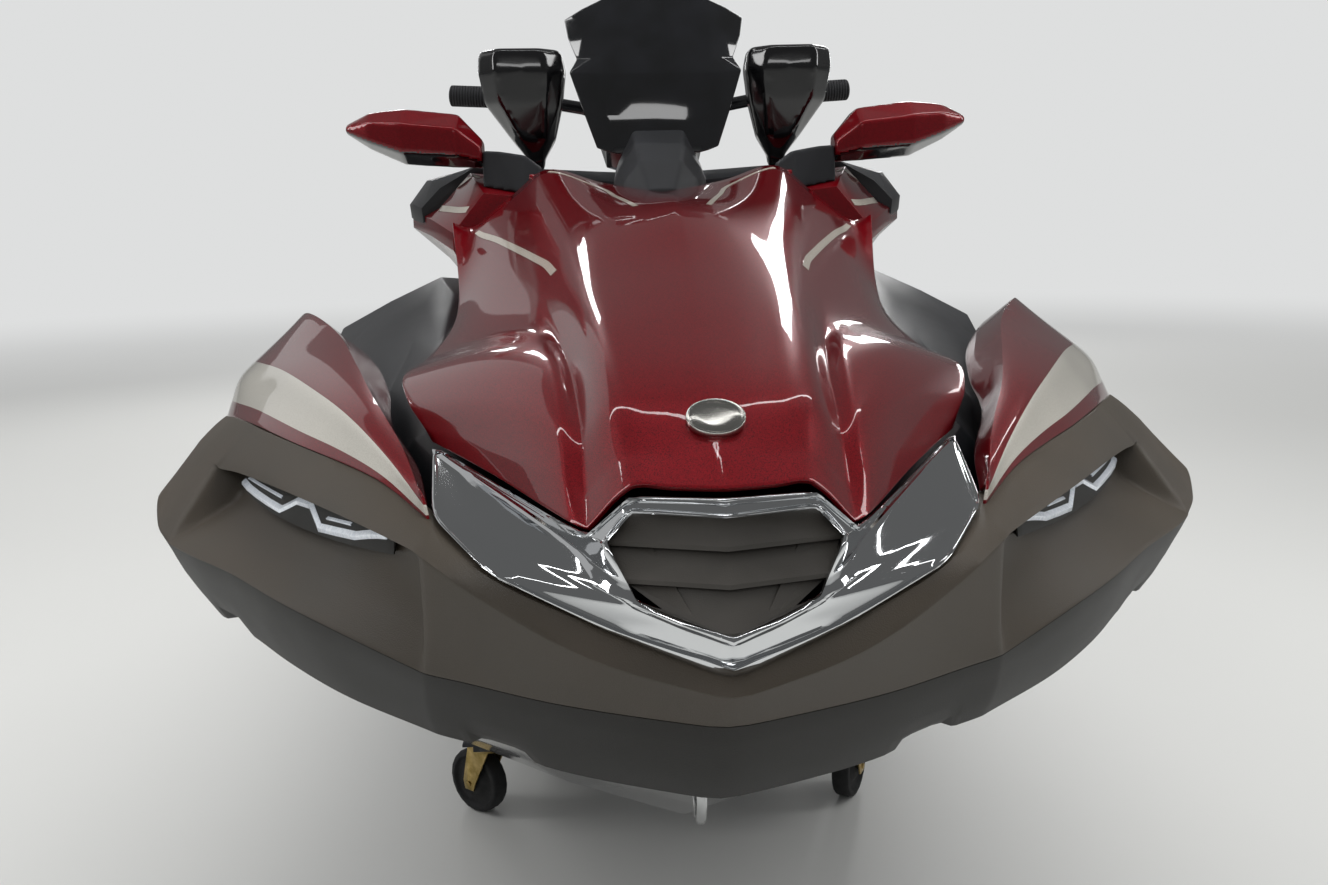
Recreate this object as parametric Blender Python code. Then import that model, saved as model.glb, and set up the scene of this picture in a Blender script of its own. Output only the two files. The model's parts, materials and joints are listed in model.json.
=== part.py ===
# Three-seat personal watercraft on a wheeled shop cradle. Metres, +Z up, bow towards -Y, floor at z = 0.
import bpy
import bmesh
import math
from mathutils import Matrix, Vector

# Driving sizes
LENGTH = 3.58
BOW_Y = -LENGTH / 2.0
TOUCH = 0.0003

# Steering
STEER_S = 1.47
STEER_Z = 1.120
STEER_TILT = math.radians(32.0)

# Front storage lid
HOOD_HINGE_S = 1.096
HOOD_HINGE_Z = 1.086

# Jet drive
PUMP_Z = 0.235
PUMP_R = 0.088
NOZZLE_PIVOT_S = 3.330

# Cradle
WHEEL_R = 0.0575
WHEEL_W = 0.032
CASTER_S_FRONT = 1.270
CASTER_S_REAR = 2.900
CASTER_TRAIL = 0.032
FORK_CLEAR = 0.015
CASTER_TOP = 2 * WHEEL_R + FORK_CLEAR + 0.020


def Y(s):
    return BOW_Y + s


for ob in list(bpy.data.objects):
    bpy.data.objects.remove(ob)

# Materials


def linear(c):
    c = c / 255.0
    return c / 12.92 if c <= 0.04045 else ((c + 0.055) / 1.055) ** 2.4


MATS = {}


def material(name, hexcode, rough, metal=0.0):
    m = bpy.data.materials.new(name)
    m.use_nodes = True
    b = m.node_tree.nodes["Principled BSDF"]
    rgb = [linear(int(hexcode[i:i + 2], 16)) for i in (0, 2, 4)]
    b.inputs["Base Color"].default_value = (*rgb, 1.0)
    b.inputs["Roughness"].default_value = rough
    b.inputs["Metallic"].default_value = metal
    m.diffuse_color = (*rgb, 1.0)
    MATS[name] = m
    return m


material("red_paint", "8E0F1E", 0.12, 0.35)
material("hull_black", "16161A", 0.35)
material("deck_black", "202124", 0.45)
material("bumper_grey", "59534A", 0.5)
material("band_black", "242322", 0.55)
material("chrome", "E4E6E8", 0.06, 1.0)
material("grille_dark", "3A3A3C", 0.5)
material("lamp_clear", "C9CCD0", 0.15)
material("gloss_black", "0C0C0E", 0.08)
material("satin_grey", "37383B", 0.45)
material("screen_dark", "121316", 0.1)
material("rubber_black", "1B1B1C", 0.8)
material("mat_grey", "2C2D30", 0.9)
material("seat_vinyl", "1E1F22", 0.6)
material("mirror_glass", "C8D0D6", 0.03, 1.0)
material("pump_alloy", "8A8D90", 0.4, 1.0)
material("stainless", "B9BBBD", 0.2, 1.0)
material("engine_alloy", "6E7174", 0.5, 0.8)
material("cart_steel", "3B3D40", 0.5, 0.6)
material("bunk_carpet", "232427", 0.95)
material("zinc", "B79A5E", 0.35, 1.0)
material("wheel_black", "18181A", 0.7)

# Mesh helpers


def finish(ob, mat, smooth=30.0):
    me = ob.data
    me.materials.clear()
    me.materials.append(MATS[mat])
    for p in me.polygons:
        p.use_smooth = True
    me.set_sharp_from_angle(angle=math.radians(smooth))
    return ob


def from_bm(name, bm, mat, smooth=30.0):
    bmesh.ops.recalc_face_normals(bm, faces=bm.faces)
    me = bpy.data.meshes.new(name)
    bm.to_mesh(me)
    bm.free()
    ob = bpy.data.objects.new(name, me)
    bpy.context.collection.objects.link(ob)
    return finish(ob, mat, smooth)


def spline(pts, n):
    out = []
    m = len(pts)
    for i in range(m - 1):
        p0 = Vector(pts[max(i - 1, 0)])
        p1 = Vector(pts[i])
        p2 = Vector(pts[i + 1])
        p3 = Vector(pts[min(i + 2, m - 1)])
        d = max((p2 - p1).length, 1e-6)
        m1 = (p2 - p0) * (d / max((p2 - p0).length, 1e-6))
        m2 = (p3 - p1) * (d / max((p3 - p1).length, 1e-6))
        for k in range(n):
            t = k / n
            h00 = 2 * t ** 3 - 3 * t ** 2 + 1
            h10 = t ** 3 - 2 * t ** 2 + t
            h01 = -2 * t ** 3 + 3 * t ** 2
            h11 = t ** 3 - t ** 2
            out.append(p1 * h00 + m1 * h10 + p2 * h01 + m2 * h11)
    out.append(Vector(pts[-1]))
    return out


def grid_refine(rows, along=1, across=1):
    # rows are lists of points; along refines inside a row, across refines between rows
    rows = [spline(r, along) if along > 1 else [Vector(p) for p in r] for r in rows]
    if across > 1:
        cols = [spline([r[j] for r in rows], across) for j in range(len(rows[0]))]
        rows = [[c[i] for c in cols] for i in range(len(cols[0]))]
    return rows


def world(rows):
    return [[Vector((p[0], Y(p[1]), p[2])) for p in r] for r in rows]


def mirror_rows(rows):
    # each row starts on the centre line and runs outward to +x
    return [[Vector((-p[0], p[1], p[2])) for p in reversed(r[1:])] + [Vector(p) for p in r] for r in rows]


def grid_normals(rows):
    n, m = len(rows), len(rows[0])
    out = []
    for i in range(n):
        line = []
        for j in range(m):
            a = rows[min(i + 1, n - 1)][j] - rows[max(i - 1, 0)][j]
            b = rows[i][min(j + 1, m - 1)] - rows[i][max(j - 1, 0)]
            v = a.cross(b)
            line.append(v.normalized() if v.length > 1e-12 else Vector((0, 0, 1)))
        out.append(line)
    return out


def quad(bm, a, b, c, d):
    # a bent quad is split along its shorter diagonal, so both sides of the craft split alike
    n = (b.co - a.co).cross(d.co - a.co)
    if n.length > 1e-12 and abs((c.co - a.co).dot(n.normalized())) < 1e-7:
        bm.faces.new((a, b, c, d))
    elif (a.co - c.co).length < (b.co - d.co).length - 1e-9:
        bm.faces.new((a, b, c))
        bm.faces.new((a, c, d))
    else:
        bm.faces.new((a, b, d))
        bm.faces.new((b, c, d))


def shell(name, outer, inner, mat, smooth=30.0, closed=False):
    # a closed wall between two grids of the same size; closed joins the last column to the first
    bm = bmesh.new()
    top = [[bm.verts.new(p) for p in r] for r in outer]
    low = [[bm.verts.new(p) for p in r] for r in inner]
    n, m = len(outer), len(outer[0])
    steps = [(j, (j + 1) % m) for j in range(m if closed else m - 1)]
    for i in range(n - 1):
        for j, k in steps:
            quad(bm, top[i][j], top[i][k], top[i + 1][k], top[i + 1][j])
            quad(bm, low[i][j], low[i + 1][j], low[i + 1][k], low[i][k])
    for j, k in steps:
        quad(bm, top[0][j], low[0][j], low[0][k], top[0][k])
        quad(bm, top[n - 1][j], top[n - 1][k], low[n - 1][k], low[n - 1][j])
    for i in range(0 if closed else n - 1):
        quad(bm, top[i][0], top[i + 1][0], low[i + 1][0], low[i][0])
        quad(bm, top[i][m - 1], low[i][m - 1], low[i + 1][m - 1], top[i + 1][m - 1])
    return from_bm(name, bm, mat, smooth)


def patch(name, rows, thick, mat, inward=None, smooth=30.0):
    # a plate that follows a grid of points; its thickness lies on the side away from the outside
    n, m = len(rows), len(rows[0])
    nor = grid_normals(rows)
    mid = rows[n // 2][m // 2]
    ref = inward if inward is not None else Vector((0, 0.3, -1))
    if nor[n // 2][m // 2].dot(ref) < 0:
        nor = [[-v for v in r] for r in nor]
    return shell(name, rows, [[p + nor[i][j] * thick for j, p in enumerate(r)] for i, r in enumerate(rows)],
                 mat, smooth)


def loft(name, rings, mat, smooth=30.0):
    # closed rings joined one after the other, with flat end caps
    bm = bmesh.new()
    vs = [[bm.verts.new(Vector(p)) for p in r] for r in rings]
    m = len(rings[0])
    for i in range(len(rings) - 1):
        for j in range(m):
            k = (j + 1) % m
            quad(bm, vs[i][j], vs[i][k], vs[i + 1][k], vs[i + 1][j])
    bm.faces.new(list(reversed(vs[0])))
    bm.faces.new(vs[-1])
    return from_bm(name, bm, mat, smooth)


def half_ring(s, half):
    # half lists (x, z) from the centre bottom round to the centre top
    right = [(x, Y(s), z) for x, z in half]
    left = [(-x, Y(s), z) for x, z in reversed(half) if x > 1e-9]
    return right + left


def box(name, lo, hi, mat, bevel=0.0, seg=2):
    bm = bmesh.new()
    bmesh.ops.create_cube(bm, size=1.0)
    for v in bm.verts:
        v.co = Vector([lo[i] + (v.co[i] + 0.5) * (hi[i] - lo[i]) for i in range(3)])
    if bevel:
        bmesh.ops.bevel(bm, geom=list(bm.edges), offset=bevel, segments=seg, affect="EDGES", profile=0.5)
    return from_bm(name, bm, mat)


def frame_to(axis):
    z = Vector(axis).normalized()
    x = z.cross(Vector((0, 1, 0)))
    if x.length < 1e-3:
        x = z.cross(Vector((1, 0, 0)))
    x.normalize()
    y = z.cross(x)
    return Matrix((x, y, z)).transposed()


def turned(name, centre, axis, profile, mat, seg=32, smooth=30.0):
    # profile lists (radius, height) along the axis; ends on the axis close the body
    bm = bmesh.new()
    R = frame_to(axis)
    rings = []
    for r, h in profile:
        if r < 1e-7:
            rings.append([bm.verts.new(Vector(centre) + R @ Vector((0, 0, h)))])
        else:
            ring = []
            for k in range(seg):
                a = 2 * math.pi * k / seg
                ring.append(bm.verts.new(Vector(centre) + R @ Vector((r * math.cos(a), r * math.sin(a), h))))
            rings.append(ring)
    for a, b in zip(rings, rings[1:]):
        for k in range(seg):
            q = (k + 1) % seg
            if len(a) == 1:
                bm.faces.new((a[0], b[q], b[k]))
            elif len(b) == 1:
                bm.faces.new((a[k], a[q], b[0]))
            else:
                bm.faces.new((a[k], a[q], b[q], b[k]))
    if len(rings[0]) > 1 and len(rings[-1]) > 1:
        if profile[0] == profile[-1]:
            bmesh.ops.remove_doubles(bm, verts=list(bm.verts), dist=1e-7)
        else:
            bm.faces.new(list(reversed(rings[0])))
            bm.faces.new(rings[-1])
    return from_bm(name, bm, mat, smooth)


def cylinder(name, p0, p1, r, mat, seg=24):
    a, b = Vector(p0), Vector(p1)
    return turned(name, a, b - a, [(0, 0), (r, 0), (r, (b - a).length), (0, (b - a).length)], mat, seg)


def tube(name, path, r, mat, seg=12):
    # a round bar that follows a list of points
    pts = [Vector(p) for p in path]
    rings = []
    up = Vector((0.13, 0.31, 0.94)).normalized()
    for i, p in enumerate(pts):
        d = (pts[min(i + 1, len(pts) - 1)] - pts[max(i - 1, 0)]).normalized()
        x = d.cross(up).normalized()
        y = d.cross(x)
        rings.append([p + x * (r * math.cos(2 * math.pi * k / seg)) + y * (r * math.sin(2 * math.pi * k / seg))
                      for k in range(seg)])
    return loft(name, rings, mat, 40.0)


def prism(name, outline, axis, lo, hi, mat, smooth=30.0):
    # outline in the plane across the axis: x uses (y, z), y uses (x, z), z uses (x, y)
    def place(p, h):
        if axis == "x":
            return Vector((h, p[0], p[1]))
        if axis == "y":
            return Vector((p[0], h, p[1]))
        return Vector((p[0], p[1], h))
    return loft(name, [[place(p, lo) for p in outline], [place(p, hi) for p in outline]], mat, smooth)


def boolean(ob, other, op):
    m = ob.modifiers.new("cut", "BOOLEAN")
    m.operation = op
    m.solver = "EXACT"
    m.object = other
    bpy.context.view_layer.objects.active = ob
    dg = bpy.context.evaluated_depsgraph_get()
    me = bpy.data.meshes.new_from_object(ob.evaluated_get(dg))
    old = ob.data
    mats = [m2 for m2 in old.materials]
    ob.modifiers.clear()
    ob.data = me
    me.materials.clear()
    for m2 in mats[:1]:
        me.materials.append(m2)
    for p in me.polygons:
        p.material_index = 0
    bpy.data.objects.remove(other)
    return ob


def cut(ob, *others):
    for o in others:
        boolean(ob, o, "DIFFERENCE")
    return finish(ob, ob.data.materials[0].name)


def join(ob, *others):
    for o in others:
        boolean(ob, o, "UNION")
    return finish(ob, ob.data.materials[0].name)


def set_origin(ob, p):
    p = Vector(p)
    ob.data.transform(Matrix.Translation(-p))
    ob.location = p
    return ob


def mirrored(ob, name):
    me = ob.data.copy()
    me.transform(Matrix.Scale(-1, 4, (1, 0, 0)))
    me.flip_normals()
    o = bpy.data.objects.new(name, me)
    bpy.context.collection.objects.link(o)
    loc = ob.location
    o.location = (-loc.x, loc.y, loc.z)
    for p in me.polygons:
        p.use_smooth = True
    me.set_sharp_from_angle(angle=math.radians(30.0))
    return o

def offset_copy(ob, gap):
    # a copy of a finished piece grown by the gap, used to seat its neighbour against it
    bm = bmesh.new()
    bm.from_mesh(ob.data)
    bmesh.ops.triangulate(bm, faces=bm.faces)
    bm.normal_update()
    moves = [(v, v.normal * gap * min(v.calc_shell_factor(), 1.6)) for v in bm.verts]
    for v, d in moves:
        v.co += d
    bmesh.ops.translate(bm, verts=bm.verts, vec=ob.location)
    me = bpy.data.meshes.new("grown")
    bm.to_mesh(me)
    bm.free()
    grown = bpy.data.objects.new("grown", me)
    bpy.context.collection.objects.link(grown)
    return grown


def seat_on(ob, *others):
    # trims a piece where it reaches into its neighbours, so the two meet with the touching gap
    for other in others:
        boolean(ob, offset_copy(other, TOUCH), "DIFFERENCE")
    return finish(ob, ob.data.materials[0].name)


def lerp_rows(a, b, t):
    return [Vector(p).lerp(Vector(q), t) for p, q in zip(a, b)]


# Hull, one row a station: s, keel z, chine x, chine z, side x, side z, bond x, bond z
HULL = [
    (0.23, 0.590, 0.060, 0.600, 0.108, 0.614, 0.118, 0.640),
    (0.30, 0.545, 0.130, 0.575, 0.190, 0.602, 0.215, 0.640),
    (0.45, 0.450, 0.215, 0.522, 0.310, 0.590, 0.350, 0.640),
    (0.70, 0.295, 0.315, 0.425, 0.440, 0.575, 0.480, 0.635),
    (1.00, 0.170, 0.385, 0.342, 0.505, 0.545, 0.530, 0.620),
    (1.40, 0.131, 0.420, 0.305, 0.535, 0.520, 0.560, 0.600),
    (2.00, 0.130, 0.435, 0.297, 0.545, 0.490, 0.565, 0.570),
    (2.60, 0.130, 0.437, 0.295, 0.540, 0.465, 0.560, 0.540),
    (3.10, 0.130, 0.432, 0.295, 0.520, 0.450, 0.540, 0.515),
    (3.54, 0.130, 0.420, 0.295, 0.490, 0.435, 0.500, 0.495),
]
HULL_END = HULL[-1][0]


def station(table, s, column):
    for a, b in zip(table, table[1:]):
        if a[0] <= s <= b[0]:
            return a[column] + (s - a[0]) / (b[0] - a[0]) * (b[column] - a[column])
    return table[0][column] if s < table[0][0] else table[-1][column]


def bond_z(s):
    return station(HULL, s, 7)


def hull_ring(row):
    s, zk, xc, zc, xg, zg, xb, zb = row
    half = [(0.0, zk), (xc * 0.45, zk + (zc - zk) * 0.38), (xc, zc), (xc + 0.012, zc + 0.035),
            (xg, zg), (xb, zb), (0.0, zb)]
    return half_ring(s, half)


hull = loft("hull", [hull_ring(r) for r in HULL], "hull_black", 25.0)
BAY_X, BAY_S0, BAY_S1, BAY_Z = 0.200, 1.85, 2.72, 0.300
RECESS_X, RECESS_S, RECESS_TOP = 0.215, 3.120, 0.400
DUCT_X, DUCT_S0, DUCT_S1 = 0.080, 2.42, 3.14
cut(
    hull,
    box("c", (-BAY_X, Y(BAY_S0), BAY_Z), (BAY_X, Y(BAY_S1), 0.9), "hull_black"),
    box("c", (-RECESS_X, Y(RECESS_S), 0.0), (RECESS_X, Y(HULL_END + 0.1), RECESS_TOP), "hull_black"),
    prism("c", [(Y(DUCT_S0), 0.10), (Y(DUCT_S0 + 0.04), 0.135), (Y(2.90), PUMP_Z + PUMP_R),
                (Y(DUCT_S1), PUMP_Z + PUMP_R), (Y(DUCT_S1), 0.10)], "x", -DUCT_X, DUCT_X, "hull_black"),
)

# Deck moulding, one row a station: points from the outer side over the gunwale, down into the footwell and up
# the seat base, then the height on the centre line; F marks the footwell floor height
F = None
DECK = [
    (0.23, [(0.130, 0.660), (0.128, 0.690), (0.120, 0.720), (0.105, 0.740), (0.090, 0.755), (0.080, 0.765),
            (0.070, 0.775), (0.060, 0.780)], 0.786),
    (0.30, [(0.222, 0.665), (0.210, 0.715), (0.195, 0.760), (0.185, 0.780), (0.172, 0.790), (0.158, 0.797),
            (0.136, 0.800), (0.110, 0.802)], 0.808),
    (0.45, [(0.350, 0.670), (0.330, 0.730), (0.300, 0.780), (0.288, 0.800), (0.278, 0.815), (0.264, 0.832),
            (0.246, 0.842), (0.222, 0.844)], 0.844),
    (0.70, [(0.470, 0.680), (0.452, 0.740), (0.412, 0.785), (0.380, 0.803), (0.346, 0.818), (0.312, 0.842),
            (0.284, 0.862), (0.250, 0.866)], 0.866),
    (1.00, [(0.530, 0.670), (0.522, 0.740), (0.495, 0.792), (0.460, 0.822), (0.410, 0.840), (0.356, 0.856),
            (0.316, 0.866), (0.284, 0.870)], 0.870),
    (1.22, [(0.545, 0.665), (0.545, 0.740), (0.528, 0.800), (0.500, 0.832), (0.440, 0.866), (0.370, 0.900),
            (0.325, 0.915), (0.286, 0.899)], 0.899),
    (1.37, [(0.562, 0.655), (0.570, 0.740), (0.556, 0.810), (0.534, 0.852), (0.450, 0.896), (0.366, 0.934),
            (0.318, 0.930), (0.2725, 0.899)], 0.899),
    (1.44, [(0.570, 0.650), (0.572, 0.715), (0.548, 0.760), (0.486, 0.762), (0.464, 0.740), (0.448, 0.690),
            (0.262, 0.690), (0.252, 0.899)], 0.899),
    (1.55, [(0.576, 0.640), (0.572, 0.705), (0.540, 0.742), (0.480, 0.742), (0.462, 0.722), (0.450, F),
            (0.235, F), (0.232, 0.899)], 0.899),
    (1.655, [(0.578, 0.635), (0.574, 0.695), (0.543, 0.730), (0.482, 0.730), (0.464, 0.710), (0.452, F),
             (0.232, F), (0.212, 0.899)], 0.899),
    (1.70, [(0.580, 0.630), (0.576, 0.690), (0.545, 0.722), (0.484, 0.722), (0.465, 0.702), (0.453, F),
            (0.230, F), (0.190, 0.800)], 0.800),
    (2.00, [(0.583, 0.610), (0.579, 0.665), (0.548, 0.695), (0.488, 0.695), (0.468, 0.675), (0.456, F),
            (0.230, F), (0.188, 0.770)], 0.770),
    (2.60, [(0.578, 0.575), (0.574, 0.622), (0.543, 0.650), (0.486, 0.650), (0.464, 0.630), (0.452, F),
            (0.238, F), (0.196, 0.770)], 0.770),
    (3.06, [(0.560, 0.545), (0.556, 0.582), (0.525, 0.606), (0.474, 0.606), (0.452, 0.590), (0.442, F),
            (0.236, F), (0.192, 0.760)], 0.760),
    (3.10, [(0.558, 0.543), (0.554, 0.578), (0.523, 0.600), (0.472, 0.600), (0.450, 0.585), (0.440, F),
            (0.230, F), (0.180, 0.735)], 0.735),
    (3.20, [(0.548, 0.535), (0.542, 0.552), (0.520, 0.562), (0.470, 0.562), (0.448, 0.552), (0.436, F),
            (0.190, F), (0.140, 0.640)], 0.640),
    (3.25, [(0.543, 0.522), (0.538, F), (0.500, F), (0.450, F), (0.400, F), (0.300, F), (0.180, F),
            (0.100, F)], F),
    (3.54, [(0.506, 0.510), (0.500, F), (0.470, F), (0.430, F), (0.390, F), (0.300, F), (0.180, F),
            (0.100, F)], F),
]
FLOOR_RISE = 0.022
PLATFORM_S = 3.25
PLATFORM_Z = bond_z(PLATFORM_S) + TOUCH + FLOOR_RISE


def floor_z(s):
    return max(bond_z(s) + TOUCH + FLOOR_RISE, PLATFORM_Z)


def deck_ring(row):
    s, pts, zc = row
    fl = floor_z(s)
    half = [(0.0, bond_z(s) + TOUCH), (station(HULL, s, 6), bond_z(s) + TOUCH)]
    half += [(x, fl if z is None else z) for x, z in pts] + [(0.0, fl if zc is None else zc)]
    return half_ring(s, half)


# The deck is two panels that meet at the row where the footwells begin; the bow one holds the storage bin
SPLIT_ROW = 8
BIN_X, BIN_S0, BIN_S1 = 0.220, 0.60, 1.02
BAY_WALL_X = 0.160
DECK_TOP = 1.0
bow_rows = DECK[:SPLIT_ROW + 1]
aft_rows = [(DECK[SPLIT_ROW][0] + TOUCH, *DECK[SPLIT_ROW][1:])] + DECK[SPLIT_ROW + 1:]
bow_deck = loft("bow_deck", [deck_ring(r) for r in bow_rows], "deck_black", 25.0)
deck = loft("deck", [deck_ring(r) for r in aft_rows], "deck_black", 25.0)
cut(bow_deck, box("c", (-BIN_X, Y(BIN_S0), 0.0), (BIN_X, Y(BIN_S1), DECK_TOP), "deck_black"))
cut(deck, box("c", (-BAY_WALL_X, Y(BAY_S0), 0.0), (BAY_WALL_X, Y(BAY_S1), DECK_TOP), "deck_black"))

# Bow bumper; columns run from the centre line out along the side, each point is (x, s, z)
BUMPER_TUCK = [(0, 0.028, 0.762), (0.078, 0.070, 0.781), (0.150, 0.128, 0.799), (0.196, 0.200, 0.810),
               (0.204, 0.216, 0.812), (0.250, 0.292, 0.824), (0.302, 0.374, 0.826), (0.364, 0.468, 0.825),
               (0.414, 0.552, 0.822), (0.448, 0.622, 0.818), (0.456, 0.638, 0.817), (0.502, 0.727, 0.809),
               (0.557, 0.875, 0.786), (0.570, 1.10, 0.752), (0.566, 1.38, 0.708)]
BUMPER_EDGE = [(0, 0.010, 0.760), (0.080, 0.053, 0.779), (0.160, 0.110, 0.799), (0.205, 0.190, 0.812),
               (0.213, 0.205, 0.815), (0.262, 0.280, 0.828), (0.315, 0.360, 0.830), (0.378, 0.455, 0.829),
               (0.430, 0.540, 0.826), (0.464, 0.608, 0.822), (0.472, 0.624, 0.821), (0.520, 0.715, 0.813),
               (0.575, 0.865, 0.790), (0.584, 1.10, 0.756), (0.578, 1.38, 0.712)]
BUMPER_BROW = [(0, 0.000, 0.750), (0.088, 0.042, 0.763), (0.165, 0.105, 0.785), (0.216, 0.157, 0.803),
               (0.224, 0.167, 0.8045), (0.282, 0.241, 0.8075), (0.340, 0.325, 0.805), (0.405, 0.433, 0.796),
               (0.462, 0.527, 0.787), (0.504, 0.600, 0.776), (0.510, 0.612, 0.778), (0.556, 0.700, 0.778),
               (0.592, 0.820, 0.770), (0.592, 1.10, 0.737), (0.586, 1.38, 0.694)]
BUMPER_LIP = [(0, 0.045, 0.711), (0.110, 0.090, 0.712), (0.185, 0.135, 0.713), (0.214, 0.155, 0.712),
              (0.222, 0.163, 0.712), (0.300, 0.241, 0.717), (0.365, 0.311, 0.720), (0.430, 0.393, 0.721),
              (0.497, 0.478, 0.715), (0.545, 0.552, 0.707), (0.552, 0.565, 0.707), (0.579, 0.612, 0.713),
              (0.5975, 0.682, 0.736), (0.5975, 1.10, 0.710), (0.593, 1.38, 0.668)]
BUMPER_FOOT = [(0, 0.115, 0.622), (0.110, 0.150, 0.630), (0.185, 0.185, 0.640), (0.215, 0.198, 0.643),
               (0.225, 0.207, 0.643), (0.305, 0.285, 0.640), (0.375, 0.370, 0.638), (0.440, 0.470, 0.630),
               (0.495, 0.545, 0.626), (0.530, 0.600, 0.632), (0.536, 0.612, 0.634), (0.560, 0.665, 0.644),
               (0.582, 0.780, 0.656), (0.583, 1.10, 0.625), (0.579, 1.38, 0.602)]
BUMPER_UNDER = [(0, 0.190, 0.613), (0.100, 0.225, 0.620), (0.165, 0.262, 0.626), (0.192, 0.280, 0.629),
                (0.200, 0.288, 0.629), (0.275, 0.368, 0.627), (0.340, 0.450, 0.624), (0.400, 0.545, 0.618),
                (0.450, 0.630, 0.613), (0.478, 0.690, 0.612), (0.484, 0.704, 0.612), (0.510, 0.780, 0.612),
                (0.542, 0.890, 0.610), (0.556, 1.10, 0.592), (0.563, 1.38, 0.580)]
# how far the side pocket is set back at each of those columns
POCKET = [0, 0, 0, 0, 0.018, 0.026, 0.036, 0.042, 0.046, 0.046, 0, 0, 0, 0, 0]
POCKET_FLOOR = 0.52
BUMPER_WALL = 0.005
ALONG = 2


def refine_values(values):
    out = []
    for a, b in zip(values, values[1:]):
        out += [a + (b - a) * k / ALONG for k in range(ALONG)]
    return out + [values[-1]]


edge, tuck, brow, lip, foot, under = (spline(r, ALONG) for r in (
    BUMPER_EDGE, BUMPER_TUCK, BUMPER_BROW, BUMPER_LIP, BUMPER_FOOT, BUMPER_UNDER))
depth = refine_values(POCKET)
cols = len(lip)
inward = []
for j in range(cols):
    t = lip[min(j + 1, cols - 1)] - lip[max(j - 1, 0)]
    inward.append(Vector((-t.y, t.x, 0)).normalized() if j else Vector((0, 1, 0)))
back = [max(depth[max(j - 1, 0)], depth[j], depth[min(j + 1, cols - 1)]) + BUMPER_WALL for j in range(cols)]


def moved(row, amounts, drop=0.0):
    return [p + n * a - Vector((0, 0, drop)) for p, n, a in zip(row, inward, amounts)]


flat = [BUMPER_WALL] * cols
ceiling = lerp_rows(brow, lip, 0.035)
wall_foot = lerp_rows(brow, lip, POCKET_FLOOR)
outer = [tuck, edge, brow, moved(ceiling, depth), moved(wall_foot, depth), lip]
inner = [moved(tuck, [0] * cols, 0.006), moved(edge, [0.004] * cols, 0.006), moved(brow, back, 0.008),
         moved(ceiling, back, 0.010), moved(wall_foot, back), moved(lip, flat)]
bumper = shell("bow_bumper", world(mirror_rows(outer)), world(mirror_rows(inner)), "bumper_grey", 22.0)
seat_on(bumper, bow_deck)
seam = 0.0004
outer = [moved(lip, [0] * cols, seam), foot, under]
inner = [moved(lip, flat, seam), moved(foot, flat, -0.004), [p + Vector((0, 0, BUMPER_WALL)) for p in under]]
bumper_low = shell("bumper_lower", world(mirror_rows(outer)), world(mirror_rows(inner)), "band_black", 22.0)
seat_on(bumper_low, hull, bow_deck)

# Lamps under the brow of the pockets, one entry a pocket column: lamp height there
LAMP_H = [0.016, 0.019, 0.021, 0.022, 0.022, 0.020, 0.017, 0.013, 0.008]
LAMP_SET_BACK, LAMP_SINK = 0.006, 0.40
rings = []
first = next(k for k, d in enumerate(POCKET) if d) * ALONG
for k, h in enumerate(LAMP_H):
    j = first + 1 + k
    n = inward[j]
    share = h / (brow[j].z - wall_foot[j].z)
    top, foot_back = ceiling[j], ceiling[j].lerp(wall_foot[j], share)
    front = LAMP_SET_BACK + depth[j] * LAMP_SINK
    rings.append([top + n * front, top + n * (depth[j] + 0.004) + Vector((0, 0, 0.001)),
                  foot_back + n * (depth[j] + 0.004), foot_back + n * (front + 0.002),
                  top.lerp(foot_back, 0.5) + n * (front - 0.003)])
lamp = loft("lamp_port", [[Vector((p.x, Y(p.y), p.z)) for p in r] for r in rings], "lamp_clear", 25.0)
seat_on(lamp, bumper)
mirrored(lamp, "lamp_starboard")

# Fenders: rows from the lower edge over the outer face and the ridge to the inner edge
FENDER = [
    [(0.216, 0.209, 0.8157), (0.263, 0.282, 0.8285), (0.316, 0.362, 0.8305), (0.379, 0.457, 0.8295),
     (0.473, 0.626, 0.8215), (0.576, 0.867, 0.7905), (0.585, 1.10, 0.7565), (0.579, 1.37, 0.7140)],
    [(0.219, 0.214, 0.8260), (0.260, 0.298, 0.8500), (0.310, 0.395, 0.8700), (0.366, 0.515, 0.8790),
     (0.455, 0.710, 0.8760), (0.572, 0.915, 0.8350), (0.584, 1.11, 0.8150), (0.578, 1.36, 0.7600)],
    [(0.222, 0.222, 0.8320), (0.252, 0.315, 0.8540), (0.298, 0.435, 0.8770), (0.342, 0.575, 0.8900),
     (0.412, 0.800, 0.9010), (0.507, 1.040, 0.9060), (0.550, 1.16, 0.8800), (0.553, 1.35, 0.7980)],
    [(0.220, 0.240, 0.8190), (0.241, 0.328, 0.8310), (0.284, 0.450, 0.8460), (0.312, 0.590, 0.8550),
     (0.374, 0.815, 0.8630), (0.470, 1.055, 0.8720), (0.512, 1.165, 0.8480), (0.516, 1.345, 0.7740)],
]
rows = world(grid_refine(FENDER, along=3))
fender = patch("fender_port", rows, 0.003, "red_paint", inward=Vector((-0.5, 0.3, -1)), smooth=24.0)
seat_on(fender, bumper, bow_deck)
mirrored(fender, "fender_starboard")

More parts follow.
